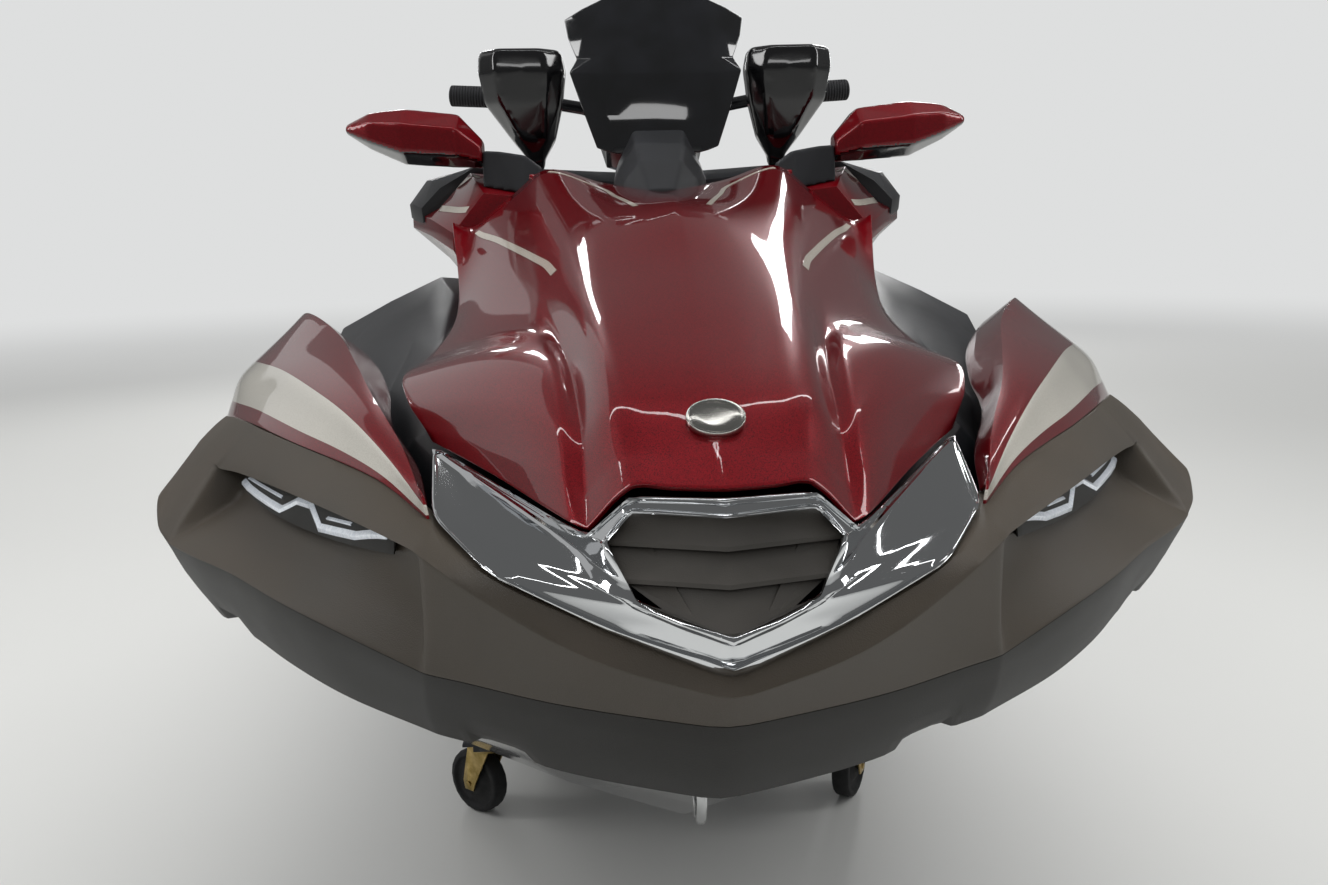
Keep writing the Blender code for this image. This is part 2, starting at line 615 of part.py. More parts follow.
# Bright mask round the grille: an outer and an inner outline with the same number of points
MASK_OUT = [(0, 0.058, 0.8635), (0.061, 0.076, 0.8625), (0.092, 0.080, 0.8335), (0.160, 0.217, 0.8365),
            (0.234, 0.368, 0.8380), (0.210, 0.214, 0.8125), (0.160, 0.112, 0.7970), (0.080, 0.055, 0.7765),
            (0, 0.012, 0.7580)]
MASK_IN = [(0, 0.048, 0.853), (0.061, 0.064, 0.855), (0.077, 0.056, 0.838), (0.071, 0.049, 0.826),
           (0.064, 0.042, 0.814), (0.058, 0.036, 0.803), (0.039, 0.026, 0.798), (0.020, 0.016, 0.793),
           (0, 0.006, 0.788)]


def closed_outline(half):
    pts = [Vector(p) for p in half]
    return pts + [Vector((-p.x, p.y, p.z)) for p in reversed(pts[1:-1])]


mask_outer = closed_outline(MASK_OUT)
mask_inner = closed_outline(MASK_IN)
# share of the way in, how far the surface stands out there
MASK_STEPS = [(0.14, 0.002), (0.20, 0.001), (0.55, -0.007), (0.80, -0.002), (0.85, 0.004), (0.96, 0.005)]
MASK_WALL, FULL_STEP_WIDTH = 0.003, 0.090
rings = [mask_outer]
for share, out in MASK_STEPS:
    ring = []
    for o, i in zip(mask_outer, mask_inner):
        ring.append(o.lerp(i, share) - Vector((0, out * min(1.0, (o - i).length / FULL_STEP_WIDTH), 0)))
    rings.append(ring)
rings.append(mask_inner)
behind = [[p + Vector((0, MASK_WALL, 0)) for p in r] for r in rings]
mask = shell("chrome_mask", world(rings), world(behind), "chrome", 18.0, closed=True)
seat_on(mask, bumper)

# Grille: a louvred insert behind the mask opening, three V slats
GRILLE_OUT = [(0.8560, 0.064), (0.838, 0.0790), (0.803, 0.062), (0.7862, 0.016)]
SLATS = [(0.8558, 0.8330), (0.8322, 0.8122), (0.8114, 0.7864)]
GRILLE_BACK = 0.032


def grille_point(u, z, d):
    for (z0, w0), (z1, w1) in zip(GRILLE_OUT, GRILLE_OUT[1:]):
        if z1 <= z <= z0:
            w = w0 + (w1 - w0) * (z0 - z) / (z0 - z1)
    x = u * w
    return Vector((x, Y(0.048 - 0.646 * (0.853 - z) + 0.30 * abs(x) + d), z))


rings = []
for u in (-1.0, -0.66, -0.33, 0.0, 0.33, 0.66, 1.0):
    ring = [grille_point(u, SLATS[0][0], GRILLE_BACK)]
    for z0, z1 in SLATS:
        ring += [grille_point(u, z0, 0.014), grille_point(u, z1 + 0.003, 0.0045), grille_point(u, z1, 0.006)]
    rings.append(ring + [grille_point(u, SLATS[-1][1], GRILLE_BACK)])
grille = loft("grille", rings, "grille_dark", 20.0)
seat_on(grille, mask, bumper)

# Front storage lid; columns from the centre ridge outward, each from the bow edge back to the hinge edge
HOOD_COLS = [
    [(0.000, 0.066, 0.868), (0.000, 0.095, 0.884), (0.000, 0.165, 0.918), (0.000, 0.300, 0.951),
     (0.000, 0.500, 0.985), (0.000, 0.740, 1.020), (0.000, 1.045, 1.062)],
    [(0.034, 0.074, 0.868), (0.036, 0.104, 0.883), (0.042, 0.169, 0.916), (0.051, 0.302, 0.949),
     (0.064, 0.504, 0.984), (0.078, 0.745, 1.023), (0.090, 1.055, 1.080)],
    [(0.061, 0.084, 0.867), (0.065, 0.114, 0.881), (0.073, 0.174, 0.912), (0.085, 0.304, 0.944),
     (0.104, 0.509, 0.979), (0.129, 0.750, 1.027), (0.163, 1.072, 1.100)],
    [(0.090, 0.088, 0.838), (0.092, 0.120, 0.853), (0.095, 0.176, 0.885), (0.108, 0.309, 0.916),
     (0.141, 0.518, 0.950), (0.175, 0.759, 0.995), (0.212, 1.075, 1.066)],
    [(0.104, 0.105, 0.839), (0.109, 0.140, 0.861), (0.115, 0.205, 0.896), (0.127, 0.335, 0.927),
     (0.167, 0.537, 0.934), (0.209, 0.771, 0.969), (0.245, 1.070, 1.040)],
    [(0.165, 0.235, 0.842), (0.170, 0.258, 0.857), (0.179, 0.313, 0.892), (0.195, 0.420, 0.915),
     (0.222, 0.601, 0.910), (0.245, 0.808, 0.942), (0.272, 1.060, 1.020)],
    [(0.236, 0.378, 0.843), (0.246, 0.400, 0.852), (0.270, 0.460, 0.866), (0.291, 0.560, 0.879),
     (0.284, 0.700, 0.882), (0.270, 0.850, 0.920), (0.298, 1.050, 1.028)],
]
HOOD_SKIN = 0.004
hood_cols = [spline(c, 2) for c in HOOD_COLS]
rows = [[c[i] for c in hood_cols] for i in range(len(hood_cols[0]))]
hood = patch("hood", world(mirror_rows(rows)), HOOD_SKIN, "red_paint", inward=Vector((0, 0.2, -1)),
             smooth=22.0)
# lugs at the rear corners carry the lid on the cowl's brackets
LUG_X, LUG_W, PIN_R, LUG_R = 0.176, 0.007, 0.0040, 0.0075
HINGE = Vector((0, Y(HOOD_HINGE_S), HOOD_HINGE_Z))


def round_end(a0, a1, step=30):
    return [(LUG_R * math.cos(math.radians(a)), LUG_R * math.sin(math.radians(a))) for a in range(a0,
                                                                                                  a1 + 1,
                                                                                                  step)]


# outlines about the pin: the lid's lug reaches forward under its skin, the bracket stands on the cowl
LID_LUG = round_end(-90, 90) + [(-0.020, -0.0012), (-0.036, -0.0028), (-0.036, -0.0095), (-0.012, -0.0072)]
BRACKET = round_end(-30, 180) + [(0.0005, -0.0430), (0.0310, -0.0430)]


def hinge_plate(lo, hi, outline, mat):
    return prism("j", [(HINGE.y + a, HINGE.z + b) for a, b in outline], "x", lo, hi, mat)


for side in (1, -1):
    lo, hi = sorted((side * LUG_X, side * (LUG_X + LUG_W)))
    join(hood, hinge_plate(lo, hi, LID_LUG, "red_paint"))
    lo, hi = sorted((side * (LUG_X + 0.002), side * (LUG_X + 2 * LUG_W + TOUCH)))
    join(hood, cylinder("j", (lo, HINGE.y, HINGE.z), (hi, HINGE.y, HINGE.z), PIN_R, "red_paint", 16))
set_origin(hood, HINGE)

# Cowl behind the lid: s, foot x, foot z, wing x, wing z, shoulder x, shoulder z, centre z
COWL_FOOT = 0.899 + TOUCH
COWL = [
    (1.105, 0.262, COWL_FOOT, 0.306, 1.012, 0.258, 1.068, 1.040),
    (1.20, 0.268, COWL_FOOT, 0.352, 1.032, 0.288, 1.099, 1.060),
    (1.32, 0.266, COWL_FOOT, 0.398, 1.043, 0.290, 1.100, 1.080),
    (1.50, 0.226, COWL_FOOT, 0.330, 1.010, 0.215, 1.050, 1.060),
    (1.66, 0.206, COWL_FOOT, 0.225, 0.960, 0.175, 0.995, 1.000),
]
WING_EDGE = 0.026
rings = []
for s, xf, zf, xw, zw, xs, zs, zc in COWL:
    rings.append(half_ring(s, [(0.0, zf), (xf, zf), (xw, zw - WING_EDGE), (xw, zw), (xs, zs), (0.0, zc)]))
cowl = loft("cowl", rings, "red_paint", 25.0)
for side in (1, -1):
    lo, hi = sorted((side * (LUG_X + LUG_W + TOUCH), side * (LUG_X + 2 * LUG_W)))
    join(cowl, hinge_plate(lo, hi, BRACKET, "red_paint"))
    lo, hi = sorted((side * (LUG_X + LUG_W - 0.002), side * (LUG_X + 2 * LUG_W + 0.004)))
    cut(cowl, cylinder("c", (lo, HINGE.y, HINGE.z), (hi, HINGE.y, HINGE.z), PIN_R + TOUCH, "red_paint", 18))
LID_X, LID_S0, LID_S1 = 0.099, 1.562, 1.632
cut(cowl, box("c", (-LID_X - 0.006, Y(LID_S0 - 0.007), 0.935), (LID_X + 0.006, Y(LID_S1 + 0.008), 1.2),
              "red_paint"))
AX = Vector((0, math.sin(STEER_TILT), math.cos(STEER_TILT)))
P0 = Vector((0, Y(STEER_S), STEER_Z))
NECK_R, NECK_LOW = 0.032, -0.090
cut(cowl, cylinder("c", P0 + AX * (NECK_LOW - TOUCH), P0 + AX * 0.05, NECK_R + TOUCH, "red_paint", 24))

# Black surround on the cowl: rises into an ear above each wing
DASH = [
    # s, then (x, z) of the upper line from the outer edge to the centre
    (1.235, [(0.370, 1.048), (0.340, 1.078), (0.286, 1.108), (0.100, 1.086)], 1.076),
    (1.27, [(0.388, 1.054), (0.356, 1.090), (0.286, 1.112), (0.100, 1.094)], 1.084),
    (1.32, [(0.402, 1.054), (0.372, 1.092), (0.288, 1.113), (0.110, 1.102)], 1.096),
    (1.42, [(0.360, 1.042), (0.330, 1.060), (0.250, 1.086), (0.110, 1.090)], 1.088),
    (1.50, [(0.326, 1.016), (0.290, 1.032), (0.216, 1.058), (0.110, 1.066)], 1.066),
]
rings = []
for s, pts, zc in DASH:
    xw, zw = station(COWL, s, 3), station(COWL, s, 4)
    low = [(0.0, station(COWL, s, 7) - 0.010), (station(COWL, s, 5), station(COWL, s, 6) - 0.010),
           (pts[0][0] - 0.002, zw - 0.010)]
    rings.append(half_ring(s, low + pts + [(0.0, zc)]))
dash = loft("dash_surround", rings, "deck_black", 25.0)
seat_on(dash, cowl)
cut(dash, cylinder("c", P0 + AX * (NECK_LOW - TOUCH), P0 + AX * 0.08, NECK_R + TOUCH, "deck_black", 24))

# Grey nose cone in front of the bars: s, half width low, low z, half width top, top z
CONE = [
    (1.058, 0.034, 1.046, 0.018, 1.068), (1.100, 0.060, 1.036, 0.030, 1.108),
    (1.140, 0.069, 1.036, 0.036, 1.136),
    (1.185, 0.066, 1.046, 0.038, 1.158), (1.199, 0.060, 1.050, 0.034, 1.152),
]
rings = []
for s, x, z0, xt, z1 in CONE:
    zm = z0 + (z1 - z0) * 0.62
    rings.append([(x, Y(s), z0), (x, Y(s), zm - 0.016), (x * 0.90, Y(s), zm), (xt, Y(s), z1), (-xt, Y(s), z1),
                  (-x * 0.90, Y(s), zm), (-x, Y(s), zm - 0.016), (-x, Y(s), z0)])
cone = loft("nose_cone", rings, "satin_grey", 20.0)
seat_on(cone, cowl)

# Dark deflector ahead of the bars: rows from the lower fascia up to the tips, from the centre outward
SCREEN = [
    [(0, 1.202, 1.128), (0.063, 1.204, 1.124), (0.094, 1.212, 1.134)],
    [(0, 1.206, 1.180), (0.076, 1.210, 1.180), (0.114, 1.226, 1.190)],
    [(0, 1.218, 1.244), (0.080, 1.224, 1.244), (0.134, 1.250, 1.250)],
    [(0, 1.232, 1.268), (0.082, 1.240, 1.268), (0.122, 1.268, 1.271)],
    [(0, 1.262, 1.318), (0.085, 1.270, 1.314), (0.136, 1.296, 1.306)],
    [(0, 1.290, 1.367), (0.076, 1.293, 1.366), (0.141, 1.308, 1.335)],
]
rows = world(mirror_rows(grid_refine(SCREEN, along=2)))
screen = patch("windscreen", rows, 0.005, "screen_dark", inward=Vector((0, 1, 0)), smooth=20.0)
for side in (1, -1):
    lo, hi = sorted((side * 0.030, side * 0.048))
    stem = [(1.209, 1.150), (1.216, 1.060), (1.244, 1.060), (1.222, 1.175), (1.2125, 1.175)]
    join(screen, prism("j", [(Y(s), z) for s, z in stem], "x", lo, hi, "screen_dark"))
seat_on(screen, cowl, dash)

# Speaker pods: height z, inner x, outer x, front s, rear s
POD = [
    (1.122, 0.176, 0.206, 1.266, 1.306), (1.150, 0.160, 0.228, 1.252, 1.324),
    (1.205, 0.147, 0.268, 1.240, 1.340),
    (1.255, 0.141, 0.277, 1.234, 1.348), (1.281, 0.146, 0.275, 1.238, 1.348),
    (1.287, 0.154, 0.268, 1.246, 1.340),
]
rings = []
for z, xi, xo, s0, s1 in POD:
    dx, ds = (xo - xi) * 0.22, (s1 - s0) * 0.30
    rings.append([(xi + dx, Y(s0 + 0.003), z), (xo - dx, Y(s0), z), (xo, Y(s0 + ds), z), (xo, Y(s1 - ds), z),
                  (xo - dx, Y(s1), z), (xi + dx, Y(s1), z), (xi, Y(s1 - ds), z), (xi, Y(s0 + ds), z)])
pod = loft("speaker_pod_port", rings, "gloss_black", 25.0)
join(pod, box("j", (0.178, Y(1.272), 1.060), (0.204, Y(1.302), 1.130), "gloss_black"))
seat_on(pod, dash, cowl)
mirrored(pod, "speaker_pod_starboard")

# Mirrors
base = loft("mirror_base_port", [
    [(x, Y(s0), z0), (x, Y(s1), z0), (x, Y(s1 - 0.008), z1), (x, Y(s0 + 0.022), z1)]
    for x, s0, s1, z0, z1 in ((0.176, 1.114, 1.192, 1.040, 1.104), (0.200, 1.114, 1.194, 1.040, 1.122),
                              (0.236, 1.118, 1.192, 1.030, 1.128), (0.262, 1.124, 1.190, 1.040, 1.130))
], "satin_grey", 25.0)
seat_on(base, cowl, dash)
mirrored(base, "mirror_base_starboard")
housing = loft("mirror_housing_port", [
    [(x, Y(s0), (z0 + z1) / 2 - 0.3 * (z1 - z0)), (x, Y(s0 + 0.4 * (s1 - s0)), z0), (x, Y(s1), z0 + 0.006),
     (x, Y(s1), z1 - 0.004), (x, Y(s0 + 0.45 * (s1 - s0)), z1), (x, Y(s0), (z0 + z1) / 2 + 0.2 * (z1 - z0))]
    for x, s0, s1, z0, z1 in ((0.2623, 1.140, 1.190, 1.104, 1.146), (0.298, 1.120, 1.222, 1.106, 1.184),
                              (0.380, 1.142, 1.228, 1.112, 1.194), (0.434, 1.170, 1.228, 1.136, 1.190),
                              (0.472, 1.198, 1.226, 1.160, 1.174))
], "red_paint", 25.0)
MIRROR_FACE = [(0.300, 1.120), (0.380, 1.128), (0.428, 1.147), (0.424, 1.180), (0.380, 1.183), (0.300, 1.172)]
MIRROR_BACK = 1.2185
cut(housing, prism("c", MIRROR_FACE, "y", Y(MIRROR_BACK), Y(1.30), "red_paint"))
mirrored(housing, "mirror_housing_starboard")
mid = Vector((sum(p[0] for p in MIRROR_FACE), sum(p[1] for p in MIRROR_FACE))) / len(MIRROR_FACE)
small = [tuple(mid + (Vector(p) - mid) * 0.985) for p in MIRROR_FACE]
glass = prism("mirror_glass_port", small, "y", Y(MIRROR_BACK) + TOUCH, Y(MIRROR_BACK + 0.004), "mirror_glass")
mirrored(glass, "mirror_glass_starboard")

# Steering neck, fixed, and the turning bars with their cover
neck = turned("steering_neck", P0, AX, [(0.0150, NECK_LOW), (NECK_R, NECK_LOW), (NECK_R, -0.010), (0.0300,
                                                                                                   0.0060),
                                        (0.0150, 0.0060), (0.0150, NECK_LOW)], "gloss_black", 24)
ACROSS = Vector((0, math.cos(STEER_TILT), -math.sin(STEER_TILT)))
bars = loft("steering_cover", [
    [P0 + Vector((x, 0, 0)) + AX * h + ACROSS * d
     for x, d in ((w, -d0), (w, d1), (w * 0.6, d1 + 0.02), (-w * 0.6, d1 + 0.02), (-w, d1), (-w, -d0),
                  (-w * 0.55, -d0 - 0.02), (w * 0.55, -d0 - 0.02))]
    for h, w, d0, d1 in ((0.0120, 0.056, 0.030, 0.035), (0.030, 0.082, 0.040, 0.060),
                         (0.075, 0.092, 0.040, 0.070),
                         (0.100, 0.078, 0.030, 0.060))
], "gloss_black", 25.0)
STEM_R = 0.0147
join(bars, turned("j", P0, AX, [(0, -0.070), (STEM_R, -0.070), (STEM_R, 0.030), (0, 0.030)], "gloss_black",
                  24))
BAR = [(0.352, 1.560, 1.244), (0.230, 1.535, 1.236), (0.120, 1.500, 1.214), (0.060, 1.492, 1.192)]
BAR_R, GRIP_R = 0.0110, 0.0185


def side_path(path, side):
    return [(side * x, Y(s), z) for x, s, z in path]


full = side_path(BAR, 1) + list(reversed(side_path(BAR, -1)))
join(bars, tube("j", full, BAR_R, "gloss_black"))
set_origin(bars, P0)
tip, root = Vector(BAR[0]), Vector(BAR[1])
reach = (tip - root) / (tip - root).length
GRIP_CAP = 0.004
for side, tag in ((1, "port"), (-1, "starboard")):
    g = tube("grip_" + tag, side_path([tip + reach * GRIP_CAP, root], side), GRIP_R, "rubber_black", 20)
    cut(g, tube("c", side_path([tip + reach * TOUCH, root - reach * 0.03], side), BAR_R + TOUCH,
                "rubber_black", 12))
    set_origin(g, P0)

# Glove box lid in the rear of the cowl
LID_Z0, LID_Z1 = 1.0310, 1.0050
lid = prism("glovebox_lid", [(Y(LID_S0), LID_Z0), (Y(LID_S1), LID_Z1), (Y(LID_S1), LID_Z1 - 0.010),
                             (Y(LID_S0), LID_Z0 - 0.011)], "x", -LID_X, LID_X, "satin_grey")
barrel_x = LID_X - 0.004
join(lid, cylinder("j", (-barrel_x, Y(LID_S0), LID_Z0), (barrel_x, Y(LID_S0), LID_Z0), 0.0066, "satin_grey",
                   16))
set_origin(lid, (0, Y(LID_S0), LID_Z0))

# Seats


def ped_top(s):
    return station([(r[0], r[2] if r[2] is not None else floor_z(r[0])) for r in DECK], s, 1)


def seat(name, table, mat):
    rings = []
    for s, wb, wm, wt, zt in table:
        z0 = ped_top(s) + TOUCH
        zm = z0 + (zt - z0) * 0.45
        rings.append(half_ring(s, [(0, z0), (wb, z0), (wm, zm), (wm * 0.97, zm + (zt - zm) * 0.45),
                                   (wt, zt - 0.012),
                                   (wt * 0.6, zt), (0, zt)]))
    return seat_on(loft(name, rings, mat, 40.0), deck)


seat("front_seat", [
    (1.705, 0.110, 0.118, 0.075, 0.962), (1.76, 0.135, 0.142, 0.090, 0.944),
    (1.85, 0.155, 0.166, 0.110, 0.917),
    (2.00, 0.175, 0.190, 0.130, 0.892), (2.15, 0.180, 0.206, 0.148, 0.884),
    (2.30, 0.185, 0.222, 0.162, 0.893),
    (2.39, 0.185, 0.225, 0.166, 0.912), (2.425, 0.185, 0.220, 0.160, 0.915),
], "seat_vinyl")
seat("rear_seat", [
    (2.430, 0.185, 0.214, 0.158, 0.922), (2.48, 0.186, 0.220, 0.166, 0.936),
    (2.62, 0.190, 0.225, 0.170, 0.946),
    (2.80, 0.188, 0.222, 0.166, 0.953), (2.95, 0.185, 0.214, 0.160, 0.957),
    (3.02, 0.178, 0.202, 0.150, 0.952),
    (3.055, 0.168, 0.186, 0.136, 0.938),
], "seat_vinyl")

# Grab rail behind the rear seat
RAIL_S = 3.128
half_rail = [(0.150, RAIL_S, 0.660), (0.158, RAIL_S + 0.002, 0.760), (0.166, RAIL_S + 0.008, 0.840),
             (0.154, RAIL_S + 0.016, 0.888), (0.116, RAIL_S + 0.020, 0.906)]
rail = tube("grab_rail", side_path(half_rail, 1) + side_path(reversed(half_rail), -1), 0.0130, "gloss_black")
seat_on(rail, deck)

# Traction mats


def mat_strip(name, x0, x1, stations):
    rings = []
    for s in stations:
        z = floor_z(s) + TOUCH
        rings.append([(x0, Y(s), z), (x1, Y(s), z), (x1, Y(s), z + 0.005), (x0, Y(s), z + 0.005)])
    return loft(name, rings, "mat_grey")


m = mat_strip("footwell_mat_port", 0.252, 0.436, (1.58, 2.00, 2.60, 3.04))
mirrored(m, "footwell_mat_starboard")
mat_strip("platform_mat", -0.400, 0.400, (3.26, 3.51))

# Jet pump
PUMP = Vector((0, Y(RECESS_S), PUMP_Z))
AFT = Vector((0, 1, 0))
UP = Vector((0, 0, 1))
NZ = Vector((0, Y(NOZZLE_PIVOT_S), PUMP_Z))
OUTLET_R = 0.052
OUTLET_END = NOZZLE_PIVOT_S - RECESS_S - 0.008
CONE_END = NOZZLE_PIVOT_S - RECESS_S - 0.055
EAR_Z, EAR_PIN_R, BUCKET_PIN_R = 0.0730, 0.0050, 0.0060
pump = turned("pump_housing", PUMP, AFT, [
    (PUMP_R - 0.010, TOUCH), (PUMP_R, TOUCH), (PUMP_R, 0.100), (OUTLET_R + 0.008, CONE_END),
    (OUTLET_R, CONE_END + 0.006),
    (OUTLET_R, OUTLET_END), (OUTLET_R - 0.006, OUTLET_END), (OUTLET_R - 0.006, CONE_END - 0.004),
    (PUMP_R - 0.010, 0.096), (PUMP_R - 0.010, TOUCH)], "pump_alloy", 32)
for k in (1, -1):
    lo, hi = sorted((k * EAR_Z, k * (EAR_Z + 0.007)))
    join(pump, box("j", (-0.013, PUMP.y + 0.086, PUMP_Z + lo), (0.013, NZ.y + 0.013, PUMP_Z + hi),
                   "pump_alloy"))
    cut(pump, cylinder("c", NZ + UP * (k * 0.070), NZ + UP * (k * 0.084), EAR_PIN_R + TOUCH, "pump_alloy",
                       16))
BORE_R = PUMP_R - 0.010
imp = turned("impeller", PUMP, AFT, [(0, 0.010), (0.012, 0.014), (0.024, 0.040), (0.024, 0.092), (0, 0.092)],
             "stainless", 20)
BLADES = 4
for k in range(BLADES):
    rings = []
    for i in range(6):
        a = 2 * math.pi * k / BLADES + i * 0.20
        d = Vector((math.cos(a), 0, math.sin(a)))
        n = Vector((-math.sin(a), 0, math.cos(a))) * 0.0022
        c = PUMP + AFT * (0.028 + i * 0.0105)
        rings.append([c + d * 0.015 - n, c + d * (BORE_R - 0.006) - n * 0.7,
                      c + d * (BORE_R - 0.006) + n * 0.7,
                      c + d * 0.015 + n])
    join(imp, loft("j", rings, "stainless"))
SHAFT_R, SHAFT_LEN = 0.0110, 0.480
join(imp, cylinder("j", PUMP - AFT * SHAFT_LEN, PUMP + AFT * 0.030, SHAFT_R, "stainless", 16))
cut(hull, cylinder("c", PUMP - AFT * (SHAFT_LEN + TOUCH), PUMP - AFT * 0.20, SHAFT_R + TOUCH, "hull_black",
                   16))
set_origin(imp, PUMP)
nozzle = turned("steering_nozzle", NZ, AFT, [
    (0.0640, -0.0120), (0.0690, -0.0120), (0.0680, 0.0200), (0.0480, 0.0900), (0.0430, 0.0900),
    (0.0630, 0.0180),
    (0.0640, -0.0120)], "pump_alloy", 28)
BUCKET_AFT = 0.030
ARM_X = 0.0860
for side in (1, -1):
    pin_a = NZ + Vector((side * 0.058, BUCKET_AFT, 0))
    pin_b = NZ + Vector((side * (ARM_X + 0.006), BUCKET_AFT, 0))
    join(nozzle, cylinder("j", pin_a, pin_b, BUCKET_PIN_R, "pump_alloy", 16))
    join(nozzle, turned("j", NZ, UP * side, [
        (0, 0.0655), (0.0105, 0.0655), (0.0105, EAR_Z - TOUCH), (EAR_PIN_R, EAR_Z - TOUCH),
        (EAR_PIN_R, EAR_Z + 0.009),
        (0, EAR_Z + 0.009)], "pump_alloy", 14))
set_origin(nozzle, NZ)
BK = NZ + AFT * BUCKET_AFT
BUCKET_R = 0.105


def arc(r, a0, a1, n):
    return [(BK.y + r * math.cos(math.radians(a0 + (a1 - a0) * i / n)),
             BK.z + r * math.sin(math.radians(a0 + (a1 - a0) * i / n))) for i in range(n + 1)]


bucket = prism("reverse_bucket", arc(BUCKET_R, 45, 120, 8) + arc(BUCKET_R - 0.007, 120, 45, 8), "x",
               -ARM_X - 0.005, ARM_X + 0.005, "pump_alloy", 20.0)
for side in (1, -1):
    arm = [(BK.y - 0.012, BK.z - 0.010), (BK.y + 0.012, BK.z - 0.010), (BK.y + 0.072, BK.z + 0.070),
           (BK.y + 0.030, BK.z + 0.100), (BK.y - 0.035, BK.z + 0.096), (BK.y - 0.048, BK.z + 0.088)]
    lo, hi = sorted((side * ARM_X, side * (ARM_X + 0.005)))
    join(bucket, prism("j", arm, "x", lo, hi, "pump_alloy"))
reach_x = Vector((0.1, 0, 0))
cut(bucket, cylinder("c", BK - reach_x, BK + reach_x, BUCKET_PIN_R + TOUCH, "pump_alloy", 16))
set_origin(bucket, BK)
PLATE_X = RECESS_X - TOUCH
plate = prism("ride_plate", [(0, 0.132), (PLATE_X, 0.200), (PLATE_X, 0.236), (PLATE_X - 0.007, 0.236),
                             (PLATE_X - 0.007, 0.206), (0, 0.140), (-PLATE_X + 0.007, 0.206),
                             (-PLATE_X + 0.007, 0.236), (-PLATE_X, 0.236), (-PLATE_X, 0.200)], "y",
              Y(RECESS_S) + TOUCH, Y(3.42), "pump_alloy")
GRATE_Z0, GRATE_Z1 = 0.1320, 0.1420
GRATE_X, GRATE_S0 = DUCT_X - 0.0005, 2.490
join(plate, box("j", (-GRATE_X, Y(2.93), GRATE_Z0), (GRATE_X, Y(RECESS_S) + 0.005, GRATE_Z1), "pump_alloy"))
for k in range(-2, 3):
    x = k * 0.030
    join(plate, box("j", (x - 0.004, Y(GRATE_S0 + 0.005), GRATE_Z0 + 0.001),
                    (x + 0.004, Y(2.94), GRATE_Z1 - 0.001),
                    "pump_alloy"))
join(plate, box("j", (-GRATE_X, Y(GRATE_S0), GRATE_Z0 + 0.0005), (GRATE_X, Y(GRATE_S0 + 0.014),
                                                                  GRATE_Z1 - 0.0005),
                "pump_alloy"))

# Sponsons on the hull sides
rings = []
for row in HULL[-3:]:
    s, zk, xc, zc, xg, zg, xb, zb = row
    a = Vector((xc + 0.012, zc + 0.035))
    b = Vector((xg, zg))
    d = (b - a).normalized()
    n = Vector((d.y, -d.x))
    L = (b - a).length
    pts = [a + d * (0.25 * L) - n * 0.004, a + d * (0.85 * L) - n * 0.004, a + d * (0.80 * L) + n * 0.022,
           a + d * (0.10 * L) + n * 0.030]
    rings.append([(p.x, Y(s), p.y) for p in pts])
sp = loft("sponson_port", rings, "deck_black")
seat_on(sp, hull)
mirrored(sp, "sponson_starboard")

# Fittings
engine = box("engine_block", (-0.135, Y(1.96), BAY_Z + TOUCH), (0.135, Y(2.58), 0.640), "engine_alloy", 0.01)
eye = tube("bow_eye", [(0, Y(0.345), 0.545), (0, Y(0.340), 0.500), (0, Y(0.356), 0.476), (0, Y(0.386), 0.462),
                       (0, Y(0.408), 0.470), (0, Y(0.416), 0.505)], 0.0050, "stainless", 10)
seat_on(eye, hull)
for side, tag in ((1, "port"), (-1, "starboard")):
    y0 = Y(HULL_END)
    e = tube("stern_eye_" + tag, [(side * 0.300 - 0.022, y0 - 0.01, 0.450), (side * 0.300 - 0.018,
                                                                             y0 + 0.030, 0.450),
                                  (side * 0.300, y0 + 0.038, 0.450),
                                  (side * 0.300 + 0.018, y0 + 0.030, 0.450),
                                  (side * 0.300 + 0.022, y0 - 0.01, 0.450)], 0.0045, "stainless", 8)
    seat_on(e, hull)
STEP_X0, STEP_X1, STEP_S, STEP_Z = 0.345, 0.465, 3.548, 0.335
step = box("boarding_step", (STEP_X0, Y(STEP_S), STEP_Z - 0.005),
           (STEP_X1, Y(STEP_S + 0.014), STEP_Z + 0.090),
           "deck_black", 0.004)
join(step, cylinder("j", (STEP_X0 + 0.006, Y(STEP_S), STEP_Z), (STEP_X1 - 0.006, Y(STEP_S), STEP_Z),
                    STEP_S - HULL_END - TOUCH, "deck_black", 20))
set_origin(step, (0.405, Y(STEP_S), STEP_Z))

# Rub rail along the sides: s, height
RAIL_W = 0.016
rings = []
for s, z in ((1.47, 0.690), (1.55, 0.678), (1.70, 0.662), (2.00, 0.640), (2.60, 0.606), (3.06, 0.577)):
    xo = station([(r[0], r[1][0][0]) for r in DECK], s, 1)
    rings.append([(xo - 0.010, Y(s), z - 0.030), (xo + RAIL_W, Y(s), z - 0.026),
                  (xo + RAIL_W, Y(s), z + 0.006),
                  (xo - 0.010, Y(s), z + 0.010)])
rail = loft("rub_rail_port", rings, "rubber_black")
seat_on(rail, deck, bow_deck)
mirrored(rail, "rub_rail_starboard")

# Shop cradle


def hull_under(x, s):
    zk, xc, zc = (station(HULL, s, c) for c in (1, 2, 3))
    xm, zm = xc * 0.45, zk + (zc - zk) * 0.38
    return zk + (zm - zk) * x / xm if x < xm else zm + (zc - zm) * (x - xm) / (xc - xm)


